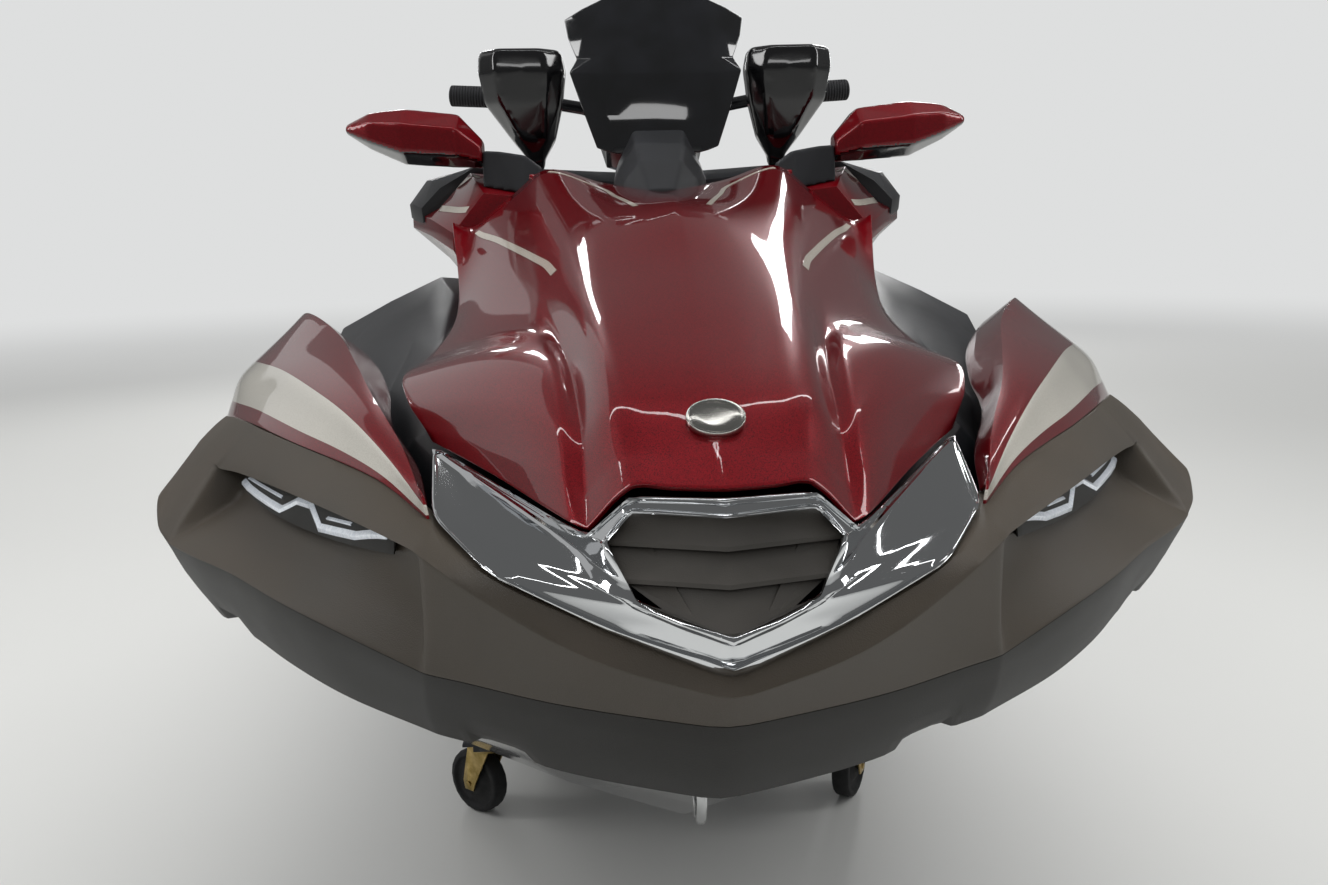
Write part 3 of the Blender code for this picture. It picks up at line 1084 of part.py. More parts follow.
PIVOT_X = 0.310
RAIL_HALF, RAIL_Z0, RAIL_Z1 = 0.020, CASTER_TOP, CASTER_TOP + 0.038
CRADLE_S0, CRADLE_S1 = CASTER_S_FRONT - 0.070, CASTER_S_REAR + 0.090
SOCKET = 0.004
frame = box("cradle_frame", (PIVOT_X - RAIL_HALF, Y(CRADLE_S0), RAIL_Z0),
            (PIVOT_X + RAIL_HALF, Y(CRADLE_S1), RAIL_Z1),
            "cart_steel")
join(frame, box("j", (-PIVOT_X - RAIL_HALF, Y(CRADLE_S0), RAIL_Z0), (-PIVOT_X + RAIL_HALF, Y(CRADLE_S1),
                                                                     RAIL_Z1),
                "cart_steel"))
CROSS_Z0, CROSS_Z1 = 0.080, 0.112
for s in (CASTER_S_FRONT + 0.190, CASTER_S_REAR - 0.200):
    join(frame, box("j", (-PIVOT_X - 0.018, Y(s - 0.018), CROSS_Z0), (PIVOT_X + 0.018, Y(s + 0.018),
                                                                      CROSS_Z1),
                    "cart_steel"))
    for side in (1, -1):
        lo, hi = sorted((side * (PIVOT_X - 0.017), side * (PIVOT_X + 0.017)))
        join(frame, box("j", (lo, Y(s - 0.017), CROSS_Z1 - 0.010), (hi, Y(s + 0.017), RAIL_Z0 + 0.010),
                        "cart_steel"))
for side in (1, -1):
    for s in (CASTER_S_FRONT, CASTER_S_REAR):
        join(frame, box("j", (side * PIVOT_X - 0.042, Y(s - 0.042), RAIL_Z0 - SOCKET),
                        (side * PIVOT_X + 0.042, Y(s + 0.042), RAIL_Z0 + 0.001), "cart_steel"))
BUNK_HALF = 0.035
for side, tag in ((1, "port"), (-1, "starboard")):
    rings = []
    for s in (1.44, 2.00, 2.60, CRADLE_S1):
        a, b = PIVOT_X - BUNK_HALF, PIVOT_X + BUNK_HALF
        z0 = RAIL_Z1 + TOUCH
        rings.append([(side * a, Y(s), z0), (side * b, Y(s), z0), (side * b, Y(s), hull_under(b, s) + 0.006),
                      (side * a, Y(s), hull_under(a, s) + 0.006)])
    seat_on(loft("bunk_" + tag, rings, "bunk_carpet"), hull)

CASTERS = [
    ("front_port", PIVOT_X, CASTER_S_FRONT, 62.0), ("front_starboard", -PIVOT_X, CASTER_S_FRONT, 140.0),
    ("rear_port", PIVOT_X, CASTER_S_REAR, 75.0), ("rear_starboard", -PIVOT_X, CASTER_S_REAR, 100.0),
]
AXLE_R = 0.0050
FORK_IN, FORK_OUT = 0.0212, 0.0245
FORK_Z = 2 * WHEEL_R + FORK_CLEAR
for tag, x, s, deg in CASTERS:
    d = Vector((math.cos(math.radians(deg)), math.sin(math.radians(deg)), 0))
    n = Vector((-d.y, d.x, 0))
    piv = Vector((x, Y(s), 0))
    hub = piv + d * CASTER_TRAIL + Vector((0, 0, WHEEL_R))
    top = RAIL_Z0 - SOCKET
    fork = turned("caster_fork_" + tag, piv, (0, 0, 1), [
        (0, FORK_Z - 0.003), (0.030, FORK_Z - 0.003), (0.034, FORK_Z + 0.003), (0.034, top - 0.005),
        (0.010, top - 0.005), (0.010, top - TOUCH), (0, top - TOUCH)], "zinc", 20)
    for k in (1, -1):
        pts = [(-0.020, FORK_Z), (0.030, FORK_Z), (CASTER_TRAIL + 0.014, WHEEL_R + 0.004),
               (CASTER_TRAIL + 0.010, WHEEL_R - 0.012), (CASTER_TRAIL - 0.010, WHEEL_R - 0.012),
               (CASTER_TRAIL - 0.016, WHEEL_R + 0.004)]
        rings = [[piv + d * u + n * o + Vector((0, 0, z)) for u, z in pts] for o in (k * FORK_IN,
                                                                                     k * FORK_OUT)]
        join(fork, loft("j", rings, "zinc"))
    join(fork, cylinder("j", hub - n * (FORK_OUT + 0.003), hub + n * (FORK_OUT + 0.003), AXLE_R, "zinc", 12))
    set_origin(fork, piv)
    W = WHEEL_W / 2
    bore = AXLE_R + TOUCH
    hub_r, dish_r, rim_r, tread_r = WHEEL_R * 0.35, WHEEL_R * 0.52, WHEEL_R * 0.77, WHEEL_R * 0.955
    w = turned("caster_wheel_" + tag, hub, n, [
        (bore, -W), (hub_r, -W), (dish_r, -W * 0.6), (rim_r, -W * 0.6), (rim_r + 0.003, -W),
        (tread_r, -W * 0.94),
        (WHEEL_R, -W * 0.6), (WHEEL_R, W * 0.6), (tread_r, W * 0.94), (rim_r + 0.003, W), (rim_r, W * 0.6),
        (dish_r, W * 0.6), (hub_r, W), (bore, W), (bore, -W)], "wheel_black", 20)
    set_origin(w, hub)
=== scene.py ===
import json
import math

import bpy
from mathutils import Matrix, Vector
from mathutils.bvhtree import BVHTree
from mathutils.kdtree import KDTree

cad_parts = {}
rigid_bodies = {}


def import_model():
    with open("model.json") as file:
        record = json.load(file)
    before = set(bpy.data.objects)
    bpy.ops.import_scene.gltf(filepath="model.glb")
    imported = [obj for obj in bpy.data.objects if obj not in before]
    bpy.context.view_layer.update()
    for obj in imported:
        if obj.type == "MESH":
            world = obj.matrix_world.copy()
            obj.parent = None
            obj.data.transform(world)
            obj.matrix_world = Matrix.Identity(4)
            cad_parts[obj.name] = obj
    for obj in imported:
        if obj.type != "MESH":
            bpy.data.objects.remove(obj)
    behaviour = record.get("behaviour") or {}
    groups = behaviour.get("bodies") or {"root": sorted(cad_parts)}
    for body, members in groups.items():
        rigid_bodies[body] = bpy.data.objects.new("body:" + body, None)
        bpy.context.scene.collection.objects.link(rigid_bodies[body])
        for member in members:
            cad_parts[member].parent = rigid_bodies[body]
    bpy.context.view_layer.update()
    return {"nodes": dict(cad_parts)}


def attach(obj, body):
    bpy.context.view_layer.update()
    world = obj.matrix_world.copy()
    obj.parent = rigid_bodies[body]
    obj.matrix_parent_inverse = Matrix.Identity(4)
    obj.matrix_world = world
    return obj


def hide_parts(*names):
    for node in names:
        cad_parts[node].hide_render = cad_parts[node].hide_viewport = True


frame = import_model()

bl_info = {
    "name": "Watercraft Looks",
    "version": (1, 0, 0),
    "blender": (4, 5, 0),
    "location": "View3D > Sidebar > Craft",
    "description": "Dresses a packed three-seat personal watercraft on its shop cradle",
    "category": "Object",
}

# Sizes of the craft that the forms below repeat, in metres; s is the distance aft of the bow tip
LENGTH = 3.58
BOW_Y = -LENGTH / 2
SIDES = ((1, "port"), (-1, "starboard"))


def Y(s):
    return BOW_Y + s


# Settings


class CraftPaint(bpy.types.PropertyGroup):
    red: bpy.props.StringProperty(name="Body red", description="Lit flakes of the candy red", default="9E0416")
    red_depth: bpy.props.StringProperty(name="Body red depth", description="Dark between the flakes", default="5A000A")
    stripe: bpy.props.StringProperty(name="Stripe", description="Warm white fender stripe", default="E4E0D6")
    pinstripe: bpy.props.StringProperty(name="Pinstripe", description="Thin pale lines on the hood",
                                        default="DDD5C9")
    bumper: bpy.props.StringProperty(name="Bumper", description="Grey-brown moulded bumper", default="463E34")
    # the lower band's near-black is partly its own colour and partly painted shade, darkened for the downward-facing
    # band
    band: bpy.props.StringProperty(name="Lower band", description="Nearly black moulded band", default="191713")
    gloss: bpy.props.StringProperty(name="Gloss black", description="Gloss black covers", default="0D0D0F")
    satin: bpy.props.StringProperty(name="Satin grey", description="Dark grey satin mouldings", default="26272A")
    vinyl: bpy.props.StringProperty(name="Seat vinyl", description="Lit grain of the seat cover", default="2C2D31")


class CraftSizes(bpy.types.PropertyGroup):
    skin: bpy.props.FloatProperty(name="Skin", description="Wall of outer mouldings", default=0.0025, unit="LENGTH")
    voxel: bpy.props.FloatProperty(name="Seat voxel", description="Seat remesh", default=0.006, unit="LENGTH")
    puff: bpy.props.FloatProperty(name="Seat puff", description="Most a seat swells", default=0.006, unit="LENGTH")
    pinstripe: bpy.props.FloatProperty(name="Pinstripe", description="Width of a line", default=0.0065, unit="LENGTH")


class CraftStage(bpy.types.PropertyGroup):
    floor: bpy.props.StringProperty(name="Floor", description="Pale studio floor", default="D4D4D1")
    backdrop: bpy.props.StringProperty(name="Backdrop", description="Pale studio backdrop", default="E3E4E4")
    camera: bpy.props.FloatVectorProperty(name="Camera place", description="Where the photo was taken from",
                                          default=(-0.064, -2.476, 1.05), subtype="XYZ")
    lens: bpy.props.FloatProperty(name="Lens", description="Focal length in mm on a 36 mm wide sensor", default=32.53)
    key: bpy.props.FloatProperty(name="Key light", description="Power of the overhead softbox in watts", default=46.0)


def paint():
    return bpy.context.scene.craft_paint


def sizes():
    return bpy.context.scene.craft_sizes


# Materials


def hex_linear(code):
    def channel(c):
        return c / 12.92 if c <= 0.04045 else ((c + 0.055) / 1.055) ** 2.4
    return tuple(channel(int(code[i:i + 2], 16) / 255.0) for i in (0, 2, 4)) + (1.0,)


def add(owner, kind, settings=None, inputs=None):
    # one node with its settings; an input is a value or a (node, output) pair to link
    n = owner.node_tree.nodes.new("ShaderNode" + kind)
    for key, value in (settings or {}).items():
        setattr(n, key, value)
    for key, value in (inputs or {}).items():
        if isinstance(value, tuple) and len(value) == 2 and hasattr(value[0], "outputs"):
            owner.node_tree.links.new(value[0].outputs[value[1]], n.inputs[key])
        else:
            n.inputs[key].default_value = value
    return n


MATS = {}


def finish(key, name, base, nodes, tones=None, relief=None, rough=None, turn=0.0, **values):
    # One procedural material on Object coordinates. nodes are (label, kind, settings, inputs), where an input may name
    # an earlier (label, output); tones, relief and rough say which output drives colour, bump and roughness
    mat = bpy.data.materials.new(name)
    mat.use_nodes = True
    mat.diffuse_color = hex_linear(base)
    shader = mat.node_tree.nodes["Principled BSDF"]
    shader.inputs["Base Color"].default_value = hex_linear(base)
    for socket, value in values.items():
        shader.inputs[socket.replace("_", " ")].default_value = value
    at = add(mat, "Mapping", inputs={"Vector": (add(mat, "TexCoord"), "Object"), "Rotation": (0, 0, turn)})
    made = {}
    for label, kind, settings, inputs in nodes:
        links = {k: (made[v[0]], v[1]) if isinstance(v, tuple) and v[0] in made else v for k, v in inputs.items()}
        if kind.startswith("Tex"):
            links["Vector"] = (at, "Vector")
        made[label] = add(mat, kind, settings, links)
    if tones:
        label, output, dark, light, low, high = tones
        ramp = add(mat, "ValToRGB", inputs={"Fac": (made[label], output)})
        for stop, place, code in zip(ramp.color_ramp.elements, (low, high), (dark, light)):
            stop.position, stop.color = place, hex_linear(code)
        mat.node_tree.links.new(ramp.outputs["Color"], shader.inputs["Base Color"])
    if relief:
        label, output, strength, distance, socket = relief
        b = add(mat, "Bump", inputs={"Height": (made[label], output), "Strength": strength, "Distance": distance})
        mat.node_tree.links.new(b.outputs["Normal"], shader.inputs[socket])
    if rough:
        label, output, low, high = rough
        r = add(mat, "MapRange", inputs={"Value": (made[label], output), "To Min": low, "To Max": high})
        mat.node_tree.links.new(r.outputs["Result"], shader.inputs["Roughness"])
    MATS[key] = mat
    return mat, at, shader


def cloudy(scale, detail=3.0, rough=0.5):
    return {"Scale": scale, "Detail": detail, "Roughness": rough}


def candy_paint(key, name, light, dark, metallic):
    # Sprayed candy enamel: metal flake under a tinted layer and a hard clear coat, deep colour with sharp reflections.
    # Flakes are about 0.1 mm, drawn at about 0.8 mm so that they show; the orange peel is 7 mm across and almost flat
    finish(key, name, light,
           [("flake", "TexVoronoi", {}, {"Scale": 1250.0}), ("peel", "TexNoise", {}, cloudy(140.0, 2.0))],
           ("flake", "Distance", light, dark, 0.1, 0.75), ("peel", "Fac", 0.035, 0.0006, "Coat Normal"),
           Metallic=metallic, Roughness=0.30, Specular_IOR_Level=0.12, Coat_Weight=1.0, Coat_Roughness=0.02)


def moulded(key, name, light, dark, rough, grain, depth, coat=0.0):
    # Injection-moulded plastic with an etched grain: even colour, soft sheen, fine pits
    finish(key, name, light,
           [("cloud", "TexNoise", {}, cloudy(9.0, 4.0)), ("pits", "TexVoronoi", {}, {"Scale": grain})],
           ("cloud", "Fac", dark, light, 0.25, 0.62), ("pits", "Distance", depth, 0.0005, "Normal"),
           ("cloud", "Fac", rough - 0.05, rough + 0.08), Roughness=rough, Coat_Weight=coat, Coat_Roughness=0.06)


def plated(key, name, base, rough, wave):
    # Bright metal plating: mirror-like, with the faint waviness of the moulding under it
    finish(key, name, base, [("ripple", "TexNoise", {}, cloudy(26.0, 1.0)), ("smear", "TexNoise", {}, cloudy(60.0))],
           None, ("ripple", "Fac", wave, 0.002, "Normal"), ("smear", "Fac", max(rough - 0.02, 0.0), rough + 0.05),
           Metallic=1.0, Roughness=rough)


def cast_metal(key, name, light, dark, rough, grain, depth):
    # Sand-cast alloy: dull metal with a pebbled skin and darker hollows
    finish(key, name, light, [("sand", "TexNoise", {}, cloudy(grain, 4.0, 0.6))],
           ("sand", "Fac", dark, light, 0.3, 0.6), ("sand", "Fac", depth, 0.001, "Normal"),
           ("sand", "Fac", rough - 0.08, rough + 0.12), Metallic=0.9, Roughness=rough)


def one_noise(key, name, base, noise, tones, relief=None, rough=None, **values):
    # a finish whose colour, bump and roughness all follow one noise; relief is (strength, distance)
    finish(key, name, base, [("noise", "TexNoise", {}, cloudy(*noise))], ("noise", "Fac", *tones),
           relief and ("noise", "Fac", *relief, "Normal"), rough and ("noise", "Fac", *rough), **values)


def ribbed(key, name, base, way, scale, tones, relief, rough):
    # a finish with raised lines across one direction, the hollows between them coloured darker as painted shade
    finish(key, name, base, [("line", "TexWave", {"bands_direction": way, "wave_profile": "SIN"}, {"Scale": scale})],
           ("line", "Fac", *tones), ("line", "Fac", *relief, "Normal"), Roughness=rough)


def make_materials():
    p = paint()
    candy_paint("red", "candy red sprayed enamel", p.red, p.red_depth, 0.45)
    candy_paint("white", "warm white sprayed enamel", p.stripe, "CBC6BA", 0.1)
    candy_paint("pin", "pale pinstripe film", p.pinstripe, "BEB4A5", 0.2)
    moulded("bumper", "grained grey-brown polypropylene", p.bumper, "3E382F", 0.50, 900.0, 0.30)
    # the band's dark colour is partly its own and partly painted shade of the downward-facing band; the lamp housings
    # share this material
    moulded("band", "grained black polypropylene", p.band, "1C1B19", 0.55, 900.0, 0.30)
    moulded("deck", "moulded black deck plastic", "1F2023", "141518", 0.42, 700.0, 0.22)
    moulded("hull", "gel-coated black hull", "15161A", "0E0F12", 0.20, 120.0, 0.05, 0.8)
    moulded("gloss", "polished black ABS", p.gloss, "08080A", 0.12, 90.0, 0.03, 1.0)
    moulded("satin", "satin grey ABS", p.satin, "1B1C1E", 0.46, 1100.0, 0.18)
    moulded("grille", "moulded grille nylon", "55514C", "413E3A", 0.42, 1000.0, 0.2)
    plated("chrome", "chrome plating", "E6E8EA", 0.03, 0.05)
    plated("badge", "satin nickel plating", "C9C7C1", 0.16, 0.02)
    plated("mirror", "silvered mirror glass", "D8DEE2", 0.01, 0.0)
    plated("steel", "polished stainless steel", "BFC0C0", 0.14, 0.02)
    cast_metal("alloy", "sand-cast pump alloy", "8E9194", "6C6F72", 0.42, 420.0, 0.35)
    cast_metal("engine", "cast engine alloy", "74777A", "55585B", 0.52, 300.0, 0.4)
    # Passivated zinc plate: yellow and green iridescence over bright steel
    one_noise("zinc", "yellow zinc plate", "B79A5E", (45.0, 3.0, 0.6), ("8F7A3F", "C8AE76", 0.32, 0.66),
              rough=(0.22, 0.42), Metallic=1.0, Roughness=0.30)
    # Brushed-on machine enamel on steel tube: low sheen, scuffed to brighter grey in places
    one_noise("cart", "painted cart steel", "3A3C3F", (34.0, 5.0, 0.7), ("303235", "5A5D60", 0.55, 0.74),
              (0.15, 0.001), Metallic=0.3, Roughness=0.48)
    # Needle-punched carpet on the bunks: short stiff fibres, matt
    one_noise("carpet", "needle-punched bunk carpet", "242528", (520.0, 4.0, 0.7), ("131416", "3A3B3E", 0.35, 0.68),
              (0.9, 0.003), Roughness=0.95, Sheen_Weight=0.4, Sheen_Roughness=0.5)
    # Vulcanised rubber: matt black, slightly bloomed
    one_noise("rubber", "vulcanised black rubber", "1A1A1B", (70.0, 4.0, 0.6), ("121213", "242425", 0.3, 0.7),
              (0.12, 0.0008), Roughness=0.72)
    # Polyester stitching thread
    one_noise("thread", "twisted polyester thread", "4A4C50", (900.0, 2.0), ("2E3033", "5E6065", 0.3, 0.7),
              Roughness=0.8)
    # Smoked polycarbonate: nearly black, high gloss
    one_noise("smoke", "smoked polycarbonate", "101114", (20.0, 2.0), ("0B0C0E", "15161A", 0.3, 0.7), Roughness=0.06,
              Coat_Weight=1.0, Coat_Roughness=0.02, IOR=1.585)
    # Frosted light guide, glowing faintly
    one_noise("guide", "frosted light guide", "E9EDF2", (300.0, 2.0), ("D5DAE0", "F6F8FA", 0.3, 0.7), Roughness=0.22,
              Coat_Weight=0.6, Emission_Strength=0.25, Emission_Color=hex_linear("DDE6F2"))
    # Second vinyl of the side panels, ribbed every 6 mm
    ribbed("side_vinyl", "ribbed side vinyl", "3A3C40", "Z", 52.0, ("292B2E", "42444A", 0.1, 0.7), (0.5, 0.0012), 0.55)
    # Grip rubber with fine rings every 5 mm along the bar
    ribbed("grip", "ringed grip rubber", "1C1C1D", "X", 62.0, ("111112", "27272A", 0.1, 0.7), (0.8, 0.0012), 0.75)
    # Marine vinyl: embossed leather grain about 1.5 mm across, soft sheen
    finish("vinyl", "embossed marine vinyl", p.vinyl,
           [("grain", "TexVoronoi", {"feature": "DISTANCE_TO_EDGE"}, {"Scale": 620.0}),
            ("cloud", "TexNoise", {}, cloudy(12.0, 4.0))],
           ("cloud", "Fac", "1B1C1F", p.vinyl, 0.3, 0.7), ("grain", "Distance", 0.5, 0.0006, "Normal"),
           ("cloud", "Fac", 0.42, 0.58), Roughness=0.50, Coat_Weight=0.12, Coat_Roughness=0.35)
    # Closed-cell EVA foam mat with 4 mm grooves every 18 mm, cut crosswise at 45 degrees; the grooves are coloured
    # darker than the tops as painted shade
    waves = [(way, "TexWave", {"bands_direction": way, "wave_profile": "SIN"}, {"Scale": 17.4}) for way in "XY"]
    finish("foam", "grooved EVA foam", "33353A",
           waves + [("both", "Math", {"operation": "MINIMUM"}, {0: ("X", "Fac"), 1: ("Y", "Fac")}),
                    ("cut", "MapRange", {"interpolation_type": "SMOOTHSTEP"},
                     {"Value": ("both", "Value"), "From Min": 0.02, "From Max": 0.14})],
           ("cut", "Result", "191A1D", "3A3C41", 0.2, 0.8), ("cut", "Result", 0.9, 0.002, "Normal"),
           turn=math.radians(45), Roughness=0.85)


# Modelling helpers


def deselect():
    for ob in bpy.context.view_layer.objects:
        ob.select_set(False)


def pick(ob):
    deselect()
    ob.select_set(True)
    bpy.context.view_layer.objects.active = ob


def edit(ob, steps):
    # runs edit-mode operators on everything in one object
    pick(ob)
    bpy.ops.object.mode_set(mode="EDIT")
    bpy.ops.mesh.select_mode(type="VERT")
    bpy.ops.mesh.select_all(action="SELECT")
    steps()
    bpy.ops.object.mode_set(mode="OBJECT")


def modify(ob, kind, **settings):
    # adds one modifier and applies it
    pick(ob)
    m = ob.modifiers.new(kind.lower(), kind)
    for key, value in settings.items():
        setattr(m, key, value)
    bpy.ops.object.modifier_apply(modifier=m.name)


def bevel(ob, width, angle, segments=2):
    # rounds the edges that turn by more than an angle in degrees
    modify(ob, "BEVEL", width=width, segments=segments, limit_method="ANGLE", angle_limit=math.radians(angle))


def linked(name, data):
    # a new object in the scene
    ob = bpy.data.objects.new(name, data)
    bpy.context.collection.objects.link(ob)
    return ob


def dress(ob, finishes, body, nodes=(), smooth=30.0):
    # finishes a piece: materials, smooth shading, its body, and the CAD nodes that it stands for
    for name in [finishes] if isinstance(finishes, str) else finishes:
        ob.data.materials.append(MATS[name])
    pick(ob)
    bpy.ops.object.shade_smooth_by_angle(angle=math.radians(smooth))
    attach(ob, body)
    if nodes:
        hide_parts(*nodes)
    return ob


def merged_copy(node, name):
    # a CAD node's mesh as a merged one, flat regions made one face again
    source = frame["nodes"][node]
    ob = linked(name, source.data.copy())
    ob.matrix_world = source.matrix_world.copy()
    ob.data.materials.clear()
    pick(ob)
    bpy.ops.object.transform_apply(location=True, rotation=True, scale=True)
    bpy.ops.mesh.customdata_custom_splitnormals_clear()

    def steps():
        bpy.ops.mesh.remove_doubles(threshold=0.00002)
        bpy.ops.mesh.dissolve_limited(angle_limit=math.radians(1.0))
    edit(ob, steps)
    return ob


def rounded(node, finishes, body, radius, segments=2, angle=26.0, smooth=32.0):
    # the CAD form with its edges rounded
    ob = merged_copy(node, node + "_piece")
    bevel(ob, radius, angle, segments)
    return dress(ob, finishes, body, (node,), smooth=smooth)


def moulded_form(node, finishes, body, voxel, rounds):
    # the CAD form remeshed and smoothed into one soft moulding
    ob = merged_copy(node, node + "_piece")
    modify(ob, "REMESH", mode="VOXEL", voxel_size=voxel, use_smooth_shade=True)
    modify(ob, "SMOOTH", factor=0.5, iterations=rounds)
    return dress(ob, finishes, body, (node,), smooth=70.0)


def hermite(points, steps, breaks=()):
    # a smooth curve through the points, with a corner at each break
    out = []
    last = len(points) - 1
    for i in range(last):
        p1, p2 = Vector(points[i]), Vector(points[i + 1])
        p0 = p1 if i == 0 or i in breaks else Vector(points[i - 1])
        p3 = p2 if i + 1 == last or i + 1 in breaks else Vector(points[i + 2])
        d = max((p2 - p1).length, 1e-6)
        m1 = (p2 - p0) * (d / max((p2 - p0).length, 1e-6))
        m2 = (p3 - p1) * (d / max((p3 - p1).length, 1e-6))
        for k in range(steps):
            t = k / steps
            out.append(p1 * (2 * t ** 3 - 3 * t ** 2 + 1) + m1 * (t ** 3 - 2 * t ** 2 + t)
                       + p2 * (3 * t ** 2 - 2 * t ** 3) + m2 * (t ** 3 - t ** 2))
    out.append(Vector(points[-1]))
    return out


def refine(rows, along, across, col_breaks=(), row_breaks=()):
    rows = [hermite(r, along, col_breaks) for r in rows]
    cols = [hermite([r[j] for r in rows], across, row_breaks) for j in range(len(rows[0]))]
    return [[c[i] for c in cols] for i in range(len(cols[0]))]


def both_sides(rows):
    # rows run from the centre line outward to +x
    return [[Vector((-p[0], p[1], p[2])) for p in reversed(r[1:])] + [Vector(p) for p in r] for r in rows]


def sheet_of(name, rows, closed=False):
    # a grid primitive whose points are set to the rows; rows are (x, s, z)
    n, m = len(rows), len(rows[0]) + (1 if closed else 0)
    deselect()
    bpy.ops.mesh.primitive_grid_add(x_subdivisions=m - 1, y_subdivisions=n - 1, size=1.0)
    ob = bpy.context.active_object
    ob.name = name
    for v in ob.data.vertices:
        j = round((v.co.x + 0.5) * (m - 1))
        i = round((v.co.y + 0.5) * (n - 1))
        p = rows[i][j % len(rows[0])]
        v.co = (p[0], Y(p[1]), p[2])
    if closed:
        edit(ob, lambda: bpy.ops.mesh.remove_doubles(threshold=0.00001))
    return ob


def crease_lines(ob, lines, value):
    # creases every edge that lies along one of the listed point lines
    keys = set()
    for line in lines:
        keys |= {(round(p[0], 5), round(Y(p[1]), 5), round(p[2], 5)) for p in line}
    on = [tuple(round(c, 5) for c in v.co) in keys for v in ob.data.vertices]
    attr = ob.data.attributes.get("crease_edge") or ob.data.attributes.new("crease_edge", "FLOAT", "EDGE")
    for e in ob.data.edges:
        if on[e.vertices[0]] and on[e.vertices[1]]:
            attr.data[e.index].value = max(attr.data[e.index].value, value)


def outward(ob, towards):
    # turns the faces so that they look the given way on average
    total = Vector((0, 0, 0))
    for f in ob.data.polygons:
        total += f.normal * f.area
    if total.dot(Vector(towards)) < 0:
        edit(ob, bpy.ops.mesh.flip_normals)


def skin(ob, towards, levels=1, thickness=None, rim=0.0008):
    # smooths a sheet, gives it a wall on its inner side and rounds its rim
    outward(ob, towards)
    if levels:
        modify(ob, "SUBSURF", levels=levels, render_levels=levels, boundary_smooth="PRESERVE_CORNERS")
    modify(ob, "SOLIDIFY", thickness=thickness or sizes().skin, offset=-1.0, use_even_offset=False)
    if rim:
        bevel(ob, rim, 60)
    return ob


def mirrored_piece(ob, name):
    # the other side's piece, with its own mesh
    other = linked(name, ob.data.copy())
    for v in other.data.vertices:
        v.co.x = -v.co.x
    edit(other, bpy.ops.mesh.flip_normals)
    return other


def surface_tree(objects):
    # what rays meet, for laying thin pieces on a surface
    verts, faces = [], []
    for ob in objects:
        start = len(verts)
        verts += [ob.matrix_world @ v.co for v in ob.data.vertices]
        faces += [[start + i for i in f.vertices] for f in ob.data.polygons]
    return BVHTree.FromPolygons(verts, faces)


def below(tree, x, s, height=1.4):
    # where a plumb line through (x, s) first meets the surface, and the normal there
    return tree.ray_cast(Vector((x, Y(s), height)), Vector((0, 0, -1)))[:2]


def film(name, plan, width, tree, lift=0.0004):
    # a thin strip laid on a surface below the (x, s) points of its centre line
    pts = hermite([(x, s, 0.0) for x, s in plan], 6)
    rows = []
    for i, p in enumerate(pts):
        d = pts[min(i + 1, len(pts) - 1)] - pts[max(i - 1, 0)]
        across = Vector((-d.y, d.x, 0)).normalized() * (width / 2)
        row = []
        for k in (-1, 0, 1):
            q = p + across * k
            at, _ = below(tree, q.x, q.y, 2.0)
            if at is not None:
                row.append((at.x, at.y - BOW_Y, at.z + lift))
        if len(row) == 3:
            rows.append(row)
    return sheet_of(name, rows)


def points(text):
    # (x, s, z) points from their numbers in millimetres
    n = [float(v) / 1000 for v in text.split()]
    return [tuple(n[i:i + 3]) for i in range(0, len(n), 3)]


def pinstripe(name, plan, tree, body, node):
    # one thin pale line on a painted piece, and its mirror image
    for side, tag in SIDES:
        strip = film(name + "_" + tag, [(side * x, s) for x, s in plan], sizes().pinstripe, tree)
        outward(strip, (0, 0, 1))
        modify(strip, "SOLIDIFY", thickness=0.0003, offset=1.0)
        dress(strip, "pin", body)


# Front mouldings. Columns run from the centre line out along the side
TUCK = points("0 28 762  78 70 781  150 128 799  196 200 810  204 216 812  250 292 824  302 374 826  364 468 825  "
              "414 552 822  448 622 818  456 638 817  502 727 809  557 875 786  570 1100 752  566 1378 708")
EDGE = points("0 10 760  80 53 779  160 110 799  205 190 812  213 205 815  262 280 828  315 360 830  378 455 829  "
              "430 540 826  464 608 822  472 624 821  520 715 813  575 865 790  584 1100 756  578 1378 712")
BROW = points("0 0 750  88 42 763  165 105 785  216 157 803  224 167 804.5  282 241 807.5  340 325 805  405 433 796  "
              "462 527 787  504 600 776  510 612 778  556 700 778  592 820 770  592 1100 737  586 1378 694")
LIP = points("0 45 711  110 90 712  185 135 713  214 155 712  222 163 712  300 241 717  365 311 720  430 393 721  "
             "497 478 715  545 552 707  552 565 707  579 612 713  597.5 682 736  597.5 1100 710  593 1378 668")
FOOT = points("0 115 622  110 150 630  185 185 640  215 198 643  225 207 643  305 285 640  375 370 638  440 470 630  "
              "495 545 626  530 600 632  536 612 634  560 665 644  582 780 656  583 1100 625  579 1378 602")
UNDER = points("0 190 613  100 225 620  165 262 626  192 280 629  200 288 629  275 368 627  340 450 624  "
               "400 545 618  450 630 613  478 690 612  484 704 612  510 780 612  542 890 610  556 1100 592  "
               "563 1378 580")
# how far the side pocket is set back at each of those columns, and the columns that its ends fall on
POCKET = [0, 0, 0, 0, 0.018, 0.026, 0.036, 0.042, 0.046, 0.046, 0, 0, 0, 0, 0]
POCKET_FLOOR = 0.52
FINE = 4


def between(values, steps):
    out = []
    for a, b in zip(values, values[1:]):
        out += [a + (b - a) * k / steps for k in range(steps)]
    return out + [values[-1]]


